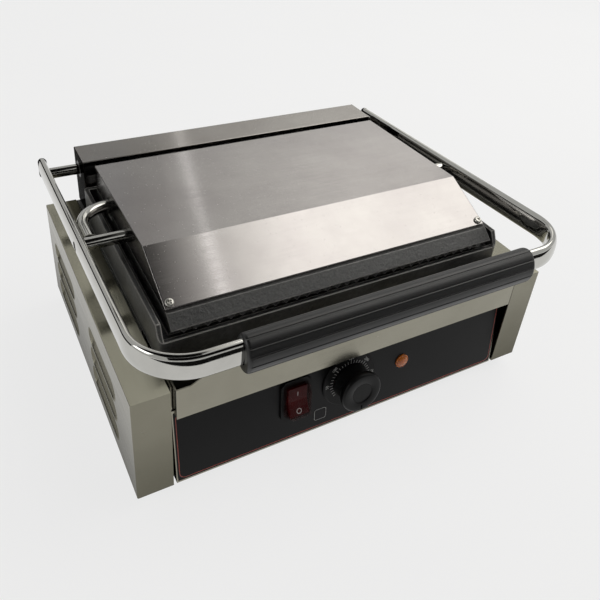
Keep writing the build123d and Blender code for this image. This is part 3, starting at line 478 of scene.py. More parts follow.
# satin black with long soft highlights; surface textures from here on are drawn coarser than they are
gripNylon = mouldedPolymer("MouldedBlackNylon", {
    "textureSize": 0.8, "patchSize": 40.0, "roughness": 0.36, "bump": 0.08, "ior": 1.53,
    "specular": 0.42, "dark": "#141414", "light": "#1c1c1c",
})
# black that hardly reflects
bezelNylon = mouldedPolymer("MattBlackNylon", {
    "textureSize": 0.8, "patchSize": 16.0, "roughness": 0.5, "bump": 0.08, "ior": 1.53,
    "specular": 0.12, "dark": "#0b0b0b", "light": "#101010",
})
# hard black moulding with a low shine
knobPhenolic = mouldedPolymer("MouldedBlackPhenolic", {
    "textureSize": 0.7, "patchSize": 20.0, "roughness": 0.38, "bump": 0.06, "ior": 1.58,
    "specular": 0.12, "dark": "#0b0b0b", "light": "#131313",
})
# the same, too matt for highlights
dialPhenolic = mouldedPolymer("MattBlackPhenolic", {
    "textureSize": 0.7, "patchSize": 20.0, "roughness": 0.45, "bump": 0.06, "ior": 1.58,
    "specular": 0.1, "dark": "#0c0c0c", "light": "#121212",
})
# smooth black film with a faint sheen
filmPolyester = mouldedPolymer("SatinPrintedPolyester", {
    "textureSize": 0.6, "patchSize": 90.0, "roughness": 0.36, "bump": 0.03, "ior": 1.45,
    "specular": 0.15, "dark": "#0a0a0b", "light": "#0f0f10",
})
# deep red, dark under the boot
redPolycarbonate = mouldedPolymer("MouldedRedPolycarbonate", {
    "textureSize": 1.0, "patchSize": 18.0, "roughness": 0.3, "bump": 0.04, "ior": 1.58,
    "specular": 0.15, "dark": "#4b090c", "light": "#5a0d11",
})
# see-through skin that dims the rocker
clearSilicone = mouldedPolymer("MouldedClearSilicone", {
    "textureSize": 1.6, "patchSize": 12.0, "roughness": 0.2, "bump": 0.05, "ior": 1.41, "alpha": 0.2,
    "specular": 0.12, "dark": "#3a1210", "light": "#461715",
})
# warm orange with a small glint
amberPolycarbonate = mouldedPolymer("MouldedAmberPolycarbonate", {
    "textureSize": 2.0, "patchSize": 9.0, "roughness": 0.22, "bump": 0.05, "ior": 1.58,
    "specular": 0.35, "coat": 0.2, "dark": "#b0520a", "light": "#cc741a",
})
# milky white
whiteNylon = mouldedPolymer("MouldedWhiteNylon", {
    "textureSize": 0.8, "patchSize": 12.0, "roughness": 0.42, "bump": 0.06, "ior": 1.53,
    "dark": "#d6d3cb", "light": "#e6e4de",
})
# dry grey-black
blackRubber = mouldedPolymer("MouldedBlackRubber", {
    "textureSize": 0.7, "patchSize": 14.0, "roughness": 0.62, "bump": 0.14, "ior": 1.52,
    "dark": "#191919", "light": "#242424",
})
# chalky and fibrous
mineralBoard = mouldedPolymer("PressedMineralBoard", {
    "textureSize": 1.4, "patchSize": 11.0, "roughness": 0.85, "bump": 0.6, "ior": 1.45,
    "dark": "#c2bba8", "light": "#d8d2c2",
})
# inks: a thin greyish white, a thicker bright one and a rusty red line
whiteInk = mouldedPolymer("ScreenPrintedWhiteInk", {
    "textureSize": 0.5, "patchSize": 6.0, "roughness": 0.5, "bump": 0.05, "ior": 1.5,
    "dark": "#bcbcba", "light": "#d0d0ce",
})
brightInk = mouldedPolymer("PadPrintedWhiteInk", {
    "textureSize": 0.5, "patchSize": 6.0, "roughness": 0.5, "bump": 0.05, "ior": 1.5,
    "dark": "#efefed", "light": "#fafaf8",
})
redInk = mouldedPolymer("ScreenPrintedRedInk", {
    "textureSize": 0.5, "patchSize": 12.0, "roughness": 0.45, "bump": 0.05, "ior": 1.5,
    "dark": "#963a2c", "light": "#ac4a3a",
})

nodeMaterials = {
    "left_shell": sideSteel, "right_shell": sideSteel, "top_cover": coverSteel, "tower_shell": towerSteel,
    "drip_tray": frontSteel, "front_panel": panelSteel, "rear_panel": coverSteel,
    "base_pan": galvanisedSheet, "left_frame": heatedSheet, "right_frame": heatedSheet,
    "lower_clamp": galvanisedSheet, "upper_clamp": galvanisedSheet, "pivot_brackets": galvanisedSheet,
    "handle_tube": chromePlate, "left_pivot_pin": chromePlate, "right_pivot_pin": chromePlate,
    "hinge_shaft": chromePlate, "cable_conduit": chromePlate,
    "foot_screws": zincPlate, "plate_bolts": zincPlate, "lower_clamp_bolts": zincPlate,
    "upper_clamp_bolts": zincPlate, "cover_screws": zincPlate, "pin_screws": zincPlate,
    "thermostat_screws": zincPlate, "balance_springs": oiledSpringSteel, "thermostat_stem": zincPlate,
    "lower_plate": blackIron, "upper_plate": lidIron,
    "lower_heater": heaterSheath, "upper_heater": heaterSheath,
    "hinge_bushes": gripNylon, "thermostat_bulb": drawnCopper,
    "lower_insulation": mineralBoard, "upper_insulation": mineralBoard,
    "handle_grip": gripNylon, "handle_tail_caps": gripNylon,
    "cable_gland": gripNylon, "switch_body": bezelNylon,
    "thermostat_knob": knobPhenolic, "dial_ring": dialPhenolic, "thermostat_body": knobPhenolic,
    "control_overlay": filmPolyester, "switch_rocker": redPolycarbonate, "switch_boot": clearSilicone,
    "lamp_lens": amberPolycarbonate, "lamp_body": whiteNylon, "terminal_block": whiteNylon,
    "feet": blackRubber, "power_loom": blackRubber,
}
for nodeName, node in nodes.items():
    node.data.materials.clear()
    node.data.materials.append(nodeMaterials[nodeName])
print("materials assigned:", len(bpy.data.materials))


# control panel: everything on it is placed from the dial's axis

dialJoint = joints["dial_turn"]
panelOut = -Vector(dialJoint["axis"]).normalized()
panelRight = Vector((1, 0, 0))
panelUp = panelOut.cross(panelRight)
panelMatrix = Matrix((panelRight, panelUp, panelOut)).transposed().to_4x4()
panelMatrix.translation = Vector(dialJoint["pos_m"])
panelInverse = panelMatrix.inverted()


def boxOf(points):
    lowest = Vector([min(point[i] for point in points) for i in range(3)])
    highest = Vector([max(point[i] for point in points) for i in range(3)])
    return lowest, highest


def panelBox(nodeName):
    # lowest and highest corners of a node, in the panel's own directions
    return boxOf([panelInverse @ vertex.co for vertex in nodes[nodeName].data.vertices])


def addPrism(bm, lower, upper):
    # closed block between two outlines with as many points
    bm.faces.new(upper)
    bm.faces.new(lower[::-1])
    for i in range(len(lower)):
        k = (i + 1) % len(lower)
        bm.faces.new((lower[i], lower[k], upper[k], upper[i]))


def addBar(bm, start, end, width, low, high):
    # flat printed bar from start to end, in the panel's plane
    along = (end - start).normalized()
    side = Vector((-along.y, along.x)) * width / 2
    corners = [start - side, end - side, end + side, start + side]
    lower = [bm.verts.new((*corner, low)) for corner in corners]
    upper = [bm.verts.new((*corner, high)) for corner in corners]
    addPrism(bm, lower, upper)


def addLoop(bm, points, width, low, high):
    # printed line that closes on itself round a convex outline
    count = len(points)
    rings = []
    for offset, level in ((-width / 2, low), (width / 2, low), (width / 2, high), (-width / 2, high)):
        ring = []
        for i, point in enumerate(points):
            way = (points[(i + 1) % count] - points[i - 1]).normalized()
            outward = Vector((way.y, -way.x))
            ring.append(bm.verts.new((*(point + outward * offset), level)))
        rings.append(ring)
    for ring, following in zip(rings, rings[1:] + rings[:1]):
        for i in range(count):
            k = (i + 1) % count
            bm.faces.new((ring[i], ring[k], following[k], following[i]))


def roundedOutline(lowX, highX, lowY, highY, radius, steps=8):
    points = []
    for cornerX, cornerY, start in (
        (highX - radius, lowY + radius, -90), (highX - radius, highY - radius, 0),
        (lowX + radius, highY - radius, 90), (lowX + radius, lowY + radius, 180),
    ):
        for step in range(steps + 1):
            turn = math.radians(start + 90 * step / steps)
            points.append(Vector((cornerX + radius * math.cos(turn), cornerY + radius * math.sin(turn))))
    return points


filmLow, filmHigh = panelBox("control_overlay")

# the film's lower hem, which laps on to the panel's bend
hem = {"drop": 2.0, "lap": 2.5, "sideInset": 0.3, "sink": 0.02}
bm = bmesh.new()
hemLevel = filmLow.y + (hem["lap"] - hem["drop"]) / 2 * mm
hemStart = Vector((filmLow.x + hem["sideInset"] * mm, hemLevel))
hemEnd = Vector((filmHigh.x - hem["sideInset"] * mm, hemLevel))
addBar(bm, hemStart, hemEnd, (hem["lap"] + hem["drop"]) * mm, filmLow.z, filmHigh.z - hem["sink"] * mm)
newPiece("overlayHem", bm, panelMatrix, "base", filmPolyester, smooth=False)

borderLine = {
    "sideInset": 1.8, "lowInset": -0.1, "highInset": 2.0, "width": 0.75, "corner": 6.0,
    "thickness": 0.04, "sink": 0.01,
}
borderOutline = roundedOutline(
    filmLow.x + borderLine["sideInset"] * mm, filmHigh.x - borderLine["sideInset"] * mm,
    filmLow.y + borderLine["lowInset"] * mm, filmHigh.y - borderLine["highInset"] * mm,
    borderLine["corner"] * mm,
)
bm = bmesh.new()
addLoop(
    bm, borderOutline, borderLine["width"] * mm,
    filmHigh.z - borderLine["sink"] * mm, filmHigh.z + borderLine["thickness"] * mm,
)
newPiece("overlayBorderLine", bm, panelMatrix, "base", redInk, smooth=False)

panelMark = {
    "x": -29.9, "y": -31.5, "size": 12.5, "corner": 2.4, "width": 0.38, "thickness": 0.04, "sink": 0.01,
}
half = panelMark["size"] / 2
markOutline = roundedOutline(
    panelMark["x"] - half, panelMark["x"] + half, panelMark["y"] - half, panelMark["y"] + half,
    panelMark["corner"],
)
bm = bmesh.new()
addLoop(
    bm, [point * mm for point in markOutline], panelMark["width"] * mm,
    filmHigh.z - panelMark["sink"] * mm, filmHigh.z + panelMark["thickness"] * mm,
)
newPiece("overlayPlainMark", bm, panelMatrix, "base", whiteInk, smooth=False)

# dial scale: a tick every ten degrees of heat, a number every fifty
dialScale = {
    "firstAngle": 216, "tickStep": -9, "tickCount": 30, "inner": 18.9, "outer": 21.9, "majorOuter": 22.8,
    "tickWidth": 0.5, "thickness": 0.05, "sink": 0.01, "numberRadius": 24.9, "numberSize": 4.2,
    "firstNumberTick": 4, "ticksPerNumber": 5, "numberStep": 50,
}
ringTop = panelBox("dial_ring")[1].z
bm = bmesh.new()
for tick in range(dialScale["tickCount"]):
    angle = math.radians(dialScale["firstAngle"] + dialScale["tickStep"] * tick)
    way = Vector((math.cos(angle), math.sin(angle)))
    major = (tick - dialScale["firstNumberTick"]) % dialScale["ticksPerNumber"] == 0
    outer = dialScale["majorOuter"] if major else dialScale["outer"]
    addBar(
        bm, way * dialScale["inner"] * mm, way * outer * mm, dialScale["tickWidth"] * mm,
        ringTop - dialScale["sink"] * mm, ringTop + dialScale["thickness"] * mm,
    )
    if major:
        number = (tick - dialScale["firstNumberTick"]) // dialScale["ticksPerNumber"] + 1
        label = bpy.data.curves.new("dialNumber", "FONT")
        label.body = str(number * dialScale["numberStep"])
        label.size = dialScale["numberSize"] * mm
        label.align_x = "CENTER"
        label.align_y = "CENTER"
        label.extrude = dialScale["thickness"] * mm / 2
        holder = bpy.data.objects.new("dialNumberHolder", label)
        numberMesh = bpy.data.meshes.new_from_object(holder)
        bpy.data.objects.remove(holder)
        place = Matrix.Translation((*(way * dialScale["numberRadius"] * mm), ringTop))
        numberMesh.transform(place @ Matrix.Rotation(angle - math.pi / 2, 4, "Z"))
        bm.from_mesh(numberMesh)
newPiece("dialScalePrint", bm, panelMatrix, "base", whiteInk, smooth=False)
print("panel prints made")


# rocker marks, on the two faces of the rocker

rockerMarks = {
    "throw": 18.0, "valley": 5.4, "faceAngle": 10.93, "barPlace": 7.5, "barLength": 4.6, "barWidth": 0.9,
    "ringPlace": -10.3, "ringRadius": 2.3, "ringWidth": 0.8, "ringSteps": 32,
    "thickness": 0.06, "sink": 0.02,
}
rockerMatrix = panelMatrix.copy()
rockerMatrix.translation = Vector(joints["rocker_throw"]["pos_m"])
rockerMatrix = rockerMatrix @ Matrix.Rotation(math.radians(-rockerMarks["throw"] / 2), 4, "X")
faceTurn = math.radians(rockerMarks["faceAngle"])


def onRocker(place):
    # the rocker's two faces rise from the valley in the middle to the ends
    height = rockerMarks["valley"] + abs(place) * math.tan(faceTurn)
    lift = Matrix.Translation((0, place * mm, height * mm))
    return lift @ Matrix.Rotation(math.copysign(faceTurn, place), 4, "X")


bm = bmesh.new()
markLow, markHigh = -rockerMarks["sink"] * mm, rockerMarks["thickness"] * mm
halfBar = rockerMarks["barLength"] / 2 * mm
addBar(bm, Vector((0, -halfBar)), Vector((0, halfBar)), rockerMarks["barWidth"] * mm, markLow, markHigh)
bm.transform(onRocker(rockerMarks["barPlace"]))
barPoints = set(bm.verts)
circle = [
    Vector((math.cos(turn), math.sin(turn))) * rockerMarks["ringRadius"] * mm
    for turn in (2 * math.pi * i / rockerMarks["ringSteps"] for i in range(rockerMarks["ringSteps"]))
]
addLoop(bm, circle, rockerMarks["ringWidth"] * mm, markLow, markHigh)
ringPoints = [point for point in bm.verts if point not in barPoints]
bmesh.ops.transform(bm, matrix=onRocker(rockerMarks["ringPlace"]), verts=ringPoints)
newPiece("rockerMarks", bm, rockerMatrix, "rocker", brightInk, smooth=False)
print("switch marks made")


# turned and moulded pieces

def lathe(profile, steps):
    # profile: (radius, height) pairs in mm, from the axis out and back to the axis
    bm = bmesh.new()
    rings = []
    for radius, height in profile:
        if radius == 0:
            rings.append([bm.verts.new((0, 0, height * mm))])
        else:
            rings.append([
                bm.verts.new((radius * mm * math.cos(turn), radius * mm * math.sin(turn), height * mm))
                for turn in (2 * math.pi * i / steps for i in range(steps))
            ])
    for lower, upper in zip(rings, rings[1:]):
        for i in range(steps):
            k = (i + 1) % steps
            corners = [lower[i % len(lower)], lower[k % len(lower)]]
            corners += [upper[k % len(upper)], upper[i % len(upper)]]
            bm.faces.new([corner for n, corner in enumerate(corners) if corner not in corners[:n]])
    return bm


def arc(centreRadius, centreHeight, radius, startAngle, endAngle, steps=6):
    points = []
    for step in range(steps + 1):
        turn = math.radians(startAngle + (endAngle - startAngle) * step / steps)
        points.append((centreRadius + radius * math.cos(turn), centreHeight + radius * math.sin(turn)))
    return points


def cutAway(piece, cutterForm, matrix, sharpAngle):
    # takes the cutter's form out of the piece, and creases its edges by angle
    cutterName = piece.name + "Cutter"
    cutter = bpy.data.objects.new(cutterName, meshFrom(cutterName, cutterForm, matrix))
    bpy.context.scene.collection.objects.link(cutter)
    cut = piece.modifiers.new("cut", "BOOLEAN")
    cut.object = cutter
    cut.operation = "DIFFERENCE"
    cut.solver = "EXACT"
    done = bpy.data.meshes.new_from_object(piece.evaluated_get(bpy.context.evaluated_depsgraph_get()))
    piece.modifiers.clear()
    old = piece.data
    piece.data = done
    bpy.data.meshes.remove(old)
    bpy.data.objects.remove(cutter)
    piece.data.set_sharp_from_angle(angle=math.radians(sharpAngle))


# knob: stout neck, flared skirt with a crisp back edge, rounded rim and a shallow round recess
knob = {
    "lift": 3.3, "neck": 18.3, "footRound": 0.4, "waist": 15.9, "waistBelow": 2.5, "flareSteps": 10,
    "skirt": 20.5, "skirtAt": 18.2, "backEdge": 0.8, "rim": 20.9, "rimAt": 21.2, "rimRound": 2.4,
    "rimArc": (8, 86), "reach": 24.4, "recess": 11.0, "recessDepth": 0.9, "recessSlope": 0.5,
    "recessLip": 0.3, "dome": 0.15, "bore": 3.2, "boreDepth": 17.3, "steps": 96, "sharp": 32,
    "pointerWidth": 1.5, "pointerDepth": 3.4, "pointerInner": 13.6, "pointerPast": 2.0,
}
foot = knob["lift"] + knob["footRound"]
profile = [(0, knob["boreDepth"]), (knob["bore"], knob["boreDepth"]), (knob["bore"], knob["lift"])]
profile += [(knob["neck"] - knob["footRound"], knob["lift"]), (knob["neck"], foot)]
for step in range(1, knob["flareSteps"] + 1):
    # concave flare from neck through waist to skirt
    t = step / knob["flareSteps"]
    shares = ((1 - t) ** 2, 2 * t * (1 - t), t ** 2)
    radii = (knob["neck"], knob["waist"], knob["skirt"])
    heights = (foot, knob["skirtAt"] - knob["waistBelow"], knob["skirtAt"])
    profile.append((
        sum(share * radius for share, radius in zip(shares, radii)),
        sum(share * height for share, height in zip(shares, heights)),
    ))
profile += [(knob["rim"], knob["skirtAt"] + knob["backEdge"]), (knob["rim"], knob["rimAt"])]
rimRound = knob["rimRound"]
profile += arc(knob["rim"] - rimRound, knob["reach"] - rimRound, rimRound, *knob["rimArc"])
recessFloor = knob["reach"] - knob["recessDepth"]
profile += [
    (knob["recess"] + knob["recessSlope"], knob["reach"]),
    (knob["recess"], knob["reach"] - knob["recessLip"]),
    (knob["recess"] - knob["recessSlope"], recessFloor),
    (0, recessFloor + knob["dome"]),
]
knobPiece = newPiece(
    "thermostatKnob", lathe(profile, knob["steps"]), panelMatrix, "dial", knobPhenolic,
    ["thermostat_knob"],
)
pointerOuter = knob["rim"] + knob["pointerPast"]
pointerMiddle = -(knob["pointerInner"] + pointerOuter) / 2
pointerSize = Vector((knob["pointerWidth"], pointerOuter - knob["pointerInner"], 2 * knob["pointerDepth"]))
pointer = bmesh.new()
bmesh.ops.create_cube(pointer, size=1.0, matrix=Matrix.LocRotScale(
    Vector((0, pointerMiddle * mm, knob["reach"] * mm)), None, pointerSize * mm,
))
cutAway(knobPiece, pointer, panelMatrix, knob["sharp"])
print("knob made")

# pilot lamp: a thin rim and a low dome that starts a step below it
lens = {
    "radius": 7.3, "rim": 6.5, "rimHeight": 1.5, "rimRound": 0.5, "rimArc": (15, 90, 4),
    "dome": 6.1, "rise": 3.5, "step": 0.35, "domeSteps": 12, "steps": 64, "sharp": 35,
}
lensLow, lensHigh = panelBox("lamp_lens")
lensMiddle = (lensLow + lensHigh) / 2
shoulder = lens["rimHeight"] - lens["rimRound"]
domeLow = lens["rimHeight"] - lens["step"]
profile = [(0, 0), (lens["radius"], 0), (lens["radius"], shoulder)]
profile += arc(lens["radius"] - lens["rimRound"], shoulder, lens["rimRound"], *lens["rimArc"])
profile += [(lens["rim"], lens["rimHeight"]), (lens["dome"], domeLow)]
for step in range(1, lens["domeSteps"] + 1):
    turn = math.radians(90 * step / lens["domeSteps"])
    radius = lens["dome"] * math.cos(turn) if step < lens["domeSteps"] else 0
    profile.append((radius, domeLow + (lens["rise"] - domeLow) * math.sin(turn)))
lensPlace = panelMatrix @ Matrix.Translation((lensMiddle.x, lensMiddle.y, lensLow.z))
lensPiece = newPiece(
    "pilotLampLens", lathe(profile, lens["steps"]), lensPlace, "base", amberPolycarbonate,
    ["lamp_lens"],
)
lensPiece.data.set_sharp_from_angle(angle=math.radians(lens["sharp"]))
print("lamp lens made")

# cover screws: low domed heads with a cross recess
screw = {
    "head": 3.9, "height": 2.3, "wall": 0.35, "flat": 0.55, "crown": 1.02, "domeSteps": 8,
    "shank": 1.8, "length": 6.0, "crossWidth": 1.3, "crossLength": 4.6, "crossDepth": 1.6, "crossTurn": 0.5,
    "steps": 40, "sharp": 35,
}
slopeForward, slopeUp = 0.15, 0.5  # the least that the cover's slope looks each way
slopeFaces = [
    face for face in nodes["top_cover"].data.polygons
    if face.normal.y < -slopeForward and face.normal.z > slopeUp
]
slopeOut = max(slopeFaces, key=lambda face: face.area).normal.copy()
profile = [(0, -screw["length"]), (screw["shank"], -screw["length"]), (screw["shank"], 0)]
profile += [(screw["head"], 0), (screw["head"], screw["wall"] * screw["height"])]
for step in range(1, screw["domeSteps"] + 1):
    turn = math.radians(90 * step / screw["domeSteps"])
    radius = screw["head"] * (screw["flat"] + (1 - screw["flat"]) * math.cos(turn))
    profile.append((radius, screw["height"] * (screw["wall"] + (1 - screw["wall"]) * math.sin(turn))))
profile.append((0, screw["height"] * screw["crown"]))
screwPlaces = []
for sideSign in (-1, 1):
    for endSign, out in ((-1, slopeOut), (1, Vector((0, 1, 0)))):
        cluster = [
            vertex.co for vertex in nodes["cover_screws"].data.vertices
            if vertex.co.x * sideSign > 0 and vertex.co.y * endSign > 0
        ]
        low, high = boxOf(cluster)
        top = max(point.dot(out) for point in cluster)
        middle = (low + high) / 2
        seat = middle + out * (top - middle.dot(out) - screw["height"] * mm)
        screwPlaces.append(Matrix.Translation(seat) @ out.to_track_quat("Z", "Y").to_matrix().to_4x4())
thin, long = screw["crossWidth"] / 2, screw["crossLength"] / 2
crossOutline = [
    (long, -thin), (long, thin), (thin, thin), (thin, long), (-thin, long), (-thin, thin),
    (-long, thin), (-long, -thin), (-thin, -thin), (-thin, -long), (thin, -long), (thin, -thin),
]
screwMesh = bmesh.new()
crossMesh = bmesh.new()
for screwPlace in screwPlaces:
    one = meshFrom("oneScrew", lathe(profile, screw["steps"]), screwPlace)
    screwMesh.from_mesh(one)
    bpy.data.meshes.remove(one)
    spin = screwPlace @ Matrix.Rotation(screw["crossTurn"], 4, "Z")
    levels = (screw["height"] - screw["crossDepth"], screw["height"] + screw["crossDepth"])
    lower, upper = [
        [crossMesh.verts.new(spin @ (Vector((x, y, level)) * mm)) for x, y in crossOutline]
        for level in levels
    ]
    addPrism(crossMesh, lower, upper)
screwPiece = newPiece(
    "coverScrews", screwMesh, None, "upper_press", zincPlate, ["cover_screws"],
)
cutAway(screwPiece, crossMesh, None, screw["sharp"])
print("cover screws made")

# handle: an oval tube with bellied sides, bent to a U, with a hole over each pin's screw
tube = {
    "height": 23.0, "width": 9.0, "belly": 2.3, "bend": 45.0, "rise": 2.4, "lead": 2.0,
    "bendSteps": 24, "ringSteps": 48, "screwReach": 151.0, "holeRadius": 4.6, "holeDepth": 7.8,
    "holeSteps": 40, "sharp": 40,
}
handleTurn = Matrix.Rotation(math.radians(-tube["rise"]), 4, "X")
handlePlace = Matrix.Translation(joints["lid_lift"]["pos_m"]) @ handleTurn
handleInverse = handlePlace.inverted()
flatLow, flatHigh = boxOf([handleInverse @ vertex.co for vertex in nodes["handle_tube"].data.vertices])
halfTube = tube["width"] / 2 * mm
leftX, rightX = flatLow.x + halfTube, flatHigh.x - halfTube
frontY, tailY = flatLow.y + halfTube, flatHigh.y
bend = tube["bend"] * mm
lead = tube["lead"] * mm
path = [(leftX, tailY, -1, 0), (leftX, frontY + bend + lead, -1, 0)]
for centreX, startAngle in ((leftX + bend, 180), (rightX - bend, 270)):
    for step in range(tube["bendSteps"] + 1):
        turn = math.radians(startAngle + 90 * step / tube["bendSteps"])
        outX, outY = math.cos(turn), math.sin(turn)
        path.append((centreX + bend * outX, frontY + bend + bend * outY, outX, outY))
    if startAngle == 180:
        path += [(leftX + bend + lead, frontY, 0, -1), (rightX - bend - lead, frontY, 0, -1)]
path += [(rightX, frontY + bend + lead, 1, 0), (rightX, tailY, 1, 0)]
section = []
power = 2 / tube["belly"]
for i in range(tube["ringSteps"]):
    turn = 2 * math.pi * i / tube["ringSteps"]
    across = math.copysign(abs(math.cos(turn)) ** power, math.cos(turn)) * tube["width"] / 2
    upward = math.copysign(abs(math.sin(turn)) ** power, math.sin(turn)) * tube["height"] / 2
    section.append((across * mm, upward * mm))
bm = bmesh.new()
rings = [
    [bm.verts.new((x + outX * across, y + outY * across, upward)) for across, upward in section]
    for x, y, outX, outY in path
]
for near, far in zip(rings, rings[1:]):
    for i in range(tube["ringSteps"]):
        bm.faces.new((near[i - 1], near[i], far[i], far[i - 1]))
bm.faces.new(rings[0])
bm.faces.new(rings[-1][::-1])
tubePiece = newPiece(
    "handleTube", bm, handlePlace, "handle", chromePlate, ["handle_tube"],
)
holes = bmesh.new()
for faceX in (leftX - halfTube, rightX + halfTube):
    holePlace = Matrix.Translation((faceX, -tube["screwReach"] * mm, 0))
    bmesh.ops.create_cone(
        holes, cap_ends=True, segments=tube["holeSteps"], radius1=tube["holeRadius"] * mm,
        radius2=tube["holeRadius"] * mm, depth=2 * tube["holeDepth"] * mm,
        matrix=holePlace @ Matrix.Rotation(math.pi / 2, 4, "Y"),
    )
cutAway(tubePiece, holes, handlePlace, tube["sharp"])
print("handle tube made")

# drip tray's lip: the front sheet runs on up behind the handle, mitred at both ends
lip = {
    "rise": 8.0, "root": 2.5, "start": 12.0, "mitre": 15.0, "sheet": 1.0, "frontBand": 0.3, "proud": 0.03,
}
trayPoints = [vertex.co for vertex in nodes["drip_tray"].data.vertices]
trayFront = min(point.y for point in trayPoints)
frontLow, frontHigh = boxOf([point for point in trayPoints if point.y < trayFront + lip["frontBand"] * mm])
lipRoot, lipBend, lipTop = [frontHigh.z + rise * mm for rise in (-lip["root"], 0, lip["rise"])]
lipLeft, lipRight = frontLow.x + lip["start"] * mm, frontHigh.x - lip["start"] * mm
mitre = lip["mitre"] * mm
lipOutline = [
    (lipLeft, lipRoot), (lipRight, lipRoot), (lipRight, lipBend),
    (lipRight - mitre, lipTop), (lipLeft + mitre, lipTop), (lipLeft, lipBend),
]
bm = bmesh.new()
lower, upper = [
    [bm.verts.new((x, level, z)) for x, z in lipOutline]
    for level in (trayFront - lip["proud"] * mm, trayFront + lip["sheet"] * mm)
]
addPrism(bm, lower, upper)
newPiece("trayLip", bm, None, "tray", frontSteel, smooth=False)
print("tray lip made, front at", round(trayFront / mm, 1), "bend at", round(lipBend / mm, 1))


# stage: a paper floor, flat and pale, soft lights, and the camera at the photograph's angle

floorSettings = {
    "size": 9.0, "paper": "#f3f3f2", "paperDark": "#efefee", "patch": 300.0, "roughness": 0.7,
    "pale": "#f3f3f3", "paleShare": 0.85,
}
floorMaterial, tree, coords = newMaterial("MattPaperSweep")
mottle = addNode(
    tree, "ShaderNodeTexNoise", {"Scale": 1 / (floorSettings["patch"] * mm), "Detail": 2.0},
    {"Vector": coords},
)
paper = addNode(tree, "ShaderNodeValToRGB", {}, {"Fac": mottle})
setRamp(paper, [(noiseLow, floorSettings["paperDark"]), (noiseHigh, floorSettings["paper"])])
shader = addNode(
    tree, "ShaderNodeBsdfPrincipled", {"Roughness": floorSettings["roughness"], "Specular IOR Level": 0.2},
    {"Base Color": paper},
)
# the eye and the metal see the paper mostly at its own pale colour, so its shadow is faint
rays = addNode(tree, "ShaderNodeLightPath")
seen = addNode(
    tree, "ShaderNodeMath", {"operation": "MAXIMUM"},
    {0: rays.outputs["Is Camera Ray"], 1: rays.outputs["Is Glossy Ray"]},
)
share = addNode(
    tree, "ShaderNodeMath", {"operation": "MULTIPLY", 1: floorSettings["paleShare"]},
    {0: seen},
)
pale = addNode(tree, "ShaderNodeEmission", {"Color": linear(floorSettings["pale"]), "Strength": 1.0})
floorMix = addNode(tree, "ShaderNodeMixShader", {}, {0: share, 1: shader, 2: pale})
addNode(tree, "ShaderNodeOutputMaterial", {}, {"Surface": floorMix})
bm = bmesh.new()
bmesh.ops.create_grid(bm, x_segments=2, y_segments=2, size=floorSettings["size"] / 2)
floor = bpy.data.objects.new("paperFloor", meshFrom("paperFloor", bm))
floor.data.materials.append(floorMaterial)
bpy.context.scene.collection.objects.link(floor)

# the room: even and pale, so that metal shows the same background that the camera sees
roomSettings = {"low": "#c2c2c1", "high": "#cacac9", "patch": 1.2, "strength": 1.0}
world = bpy.data.worlds.new("room")
bpy.context.scene.world = world
world.use_nodes = True
tree = world.node_tree
tree.nodes.clear()
coords = addNode(tree, "ShaderNodeTexCoord").outputs["Generated"]
drift = addNode(
    tree, "ShaderNodeTexNoise", {"Scale": 1 / roomSettings["patch"], "Detail": 1.0}, {"Vector": coords},
)
walls = addNode(tree, "ShaderNodeValToRGB", {}, {"Fac": drift})
setRamp(walls, [(noiseLow, roomSettings["low"]), (noiseHigh, roomSettings["high"])])
background = addNode(
    tree, "ShaderNodeBackground", {"Strength": roomSettings["strength"]}, {"Color": walls},
)
addNode(tree, "ShaderNodeOutputWorld", {}, {"Surface": background})


def addCard(name, corners, material):
    # studio card: seen in the metal, not by the camera
    bm = bmesh.new()
    bm.faces.new([bm.verts.new(corner) for corner in corners])
    mesh = bpy.data.meshes.new(name)
    bm.to_mesh(mesh)
    bm.free()
    mesh.materials.append(material)
    card = bpy.data.objects.new(name, mesh)
    bpy.context.scene.collection.objects.link(card)
    card.visible_camera = False
    return card


# black felt flags and battens round the press and over it give the chrome its dark bands; fibres drawn coarse
feltSettings = {"dark": "#0c0c0c", "light": "#141414", "fibre": 8.0, "roughness": 0.95}
feltMaterial, tree, coords = newMaterial("BlackFeltFlag")
fibres = addNode(
    tree, "ShaderNodeTexNoise", {"Scale": 1 / (feltSettings["fibre"] * mm), "Detail": 2.0},
    {"Vector": coords},
)
felt = addNode(tree, "ShaderNodeValToRGB", {}, {"Fac": fibres})
setRamp(felt, [(noiseLow, feltSettings["dark"]), (noiseHigh, feltSettings["light"])])
shader = addNode(
    tree, "ShaderNodeBsdfPrincipled", {"Roughness": feltSettings["roughness"], "Specular IOR Level": 0.1},
    {"Base Color": felt},
)
addNode(tree, "ShaderNodeOutputMaterial", {}, {"Surface": shader})
flagSettings = {
    "flagOverhead": [(-2.2, -2.0, 1.9), (0.15, -2.0, 1.9), (0.15, 0.75, 1.9), (-2.2, 0.75, 1.9)],
    "flagFront": [(-2.4, -2.4, 0.45), (2.2, -2.4, 0.45), (2.2, -2.0, 1.75), (-2.4, -2.0, 1.75)],
    "flagBackLeft": [(-2.6, 0.7, 0.01), (-0.7, 2.4, 0.01), (-0.7, 2.4, 0.65), (-2.6, 0.7, 0.65)],
    "flagGround": [(-1.6, -2.3, 0.004), (1.6, -2.3, 0.004), (1.6, -0.52, 0.004), (-1.6, -0.52, 0.004)],
    "battenLow": [(-0.6, 1.5, 0.94), (0.35, 1.5, 0.94), (0.35, 1.5, 1.0), (-0.6, 1.5, 1.0)],
    "battenHigh": [(-0.6, 1.5, 1.36), (0.35, 1.5, 1.36), (0.35, 1.5, 1.44), (-0.6, 1.5, 1.44)],
}
for flagName, corners in flagSettings.items():
    flag = addCard(flagName, corners, feltMaterial)
    if flagName == "flagGround":
        # it lies on the paper, which stays lit under it
        flag.visible_shadow = False
        flag.visible_diffuse = False

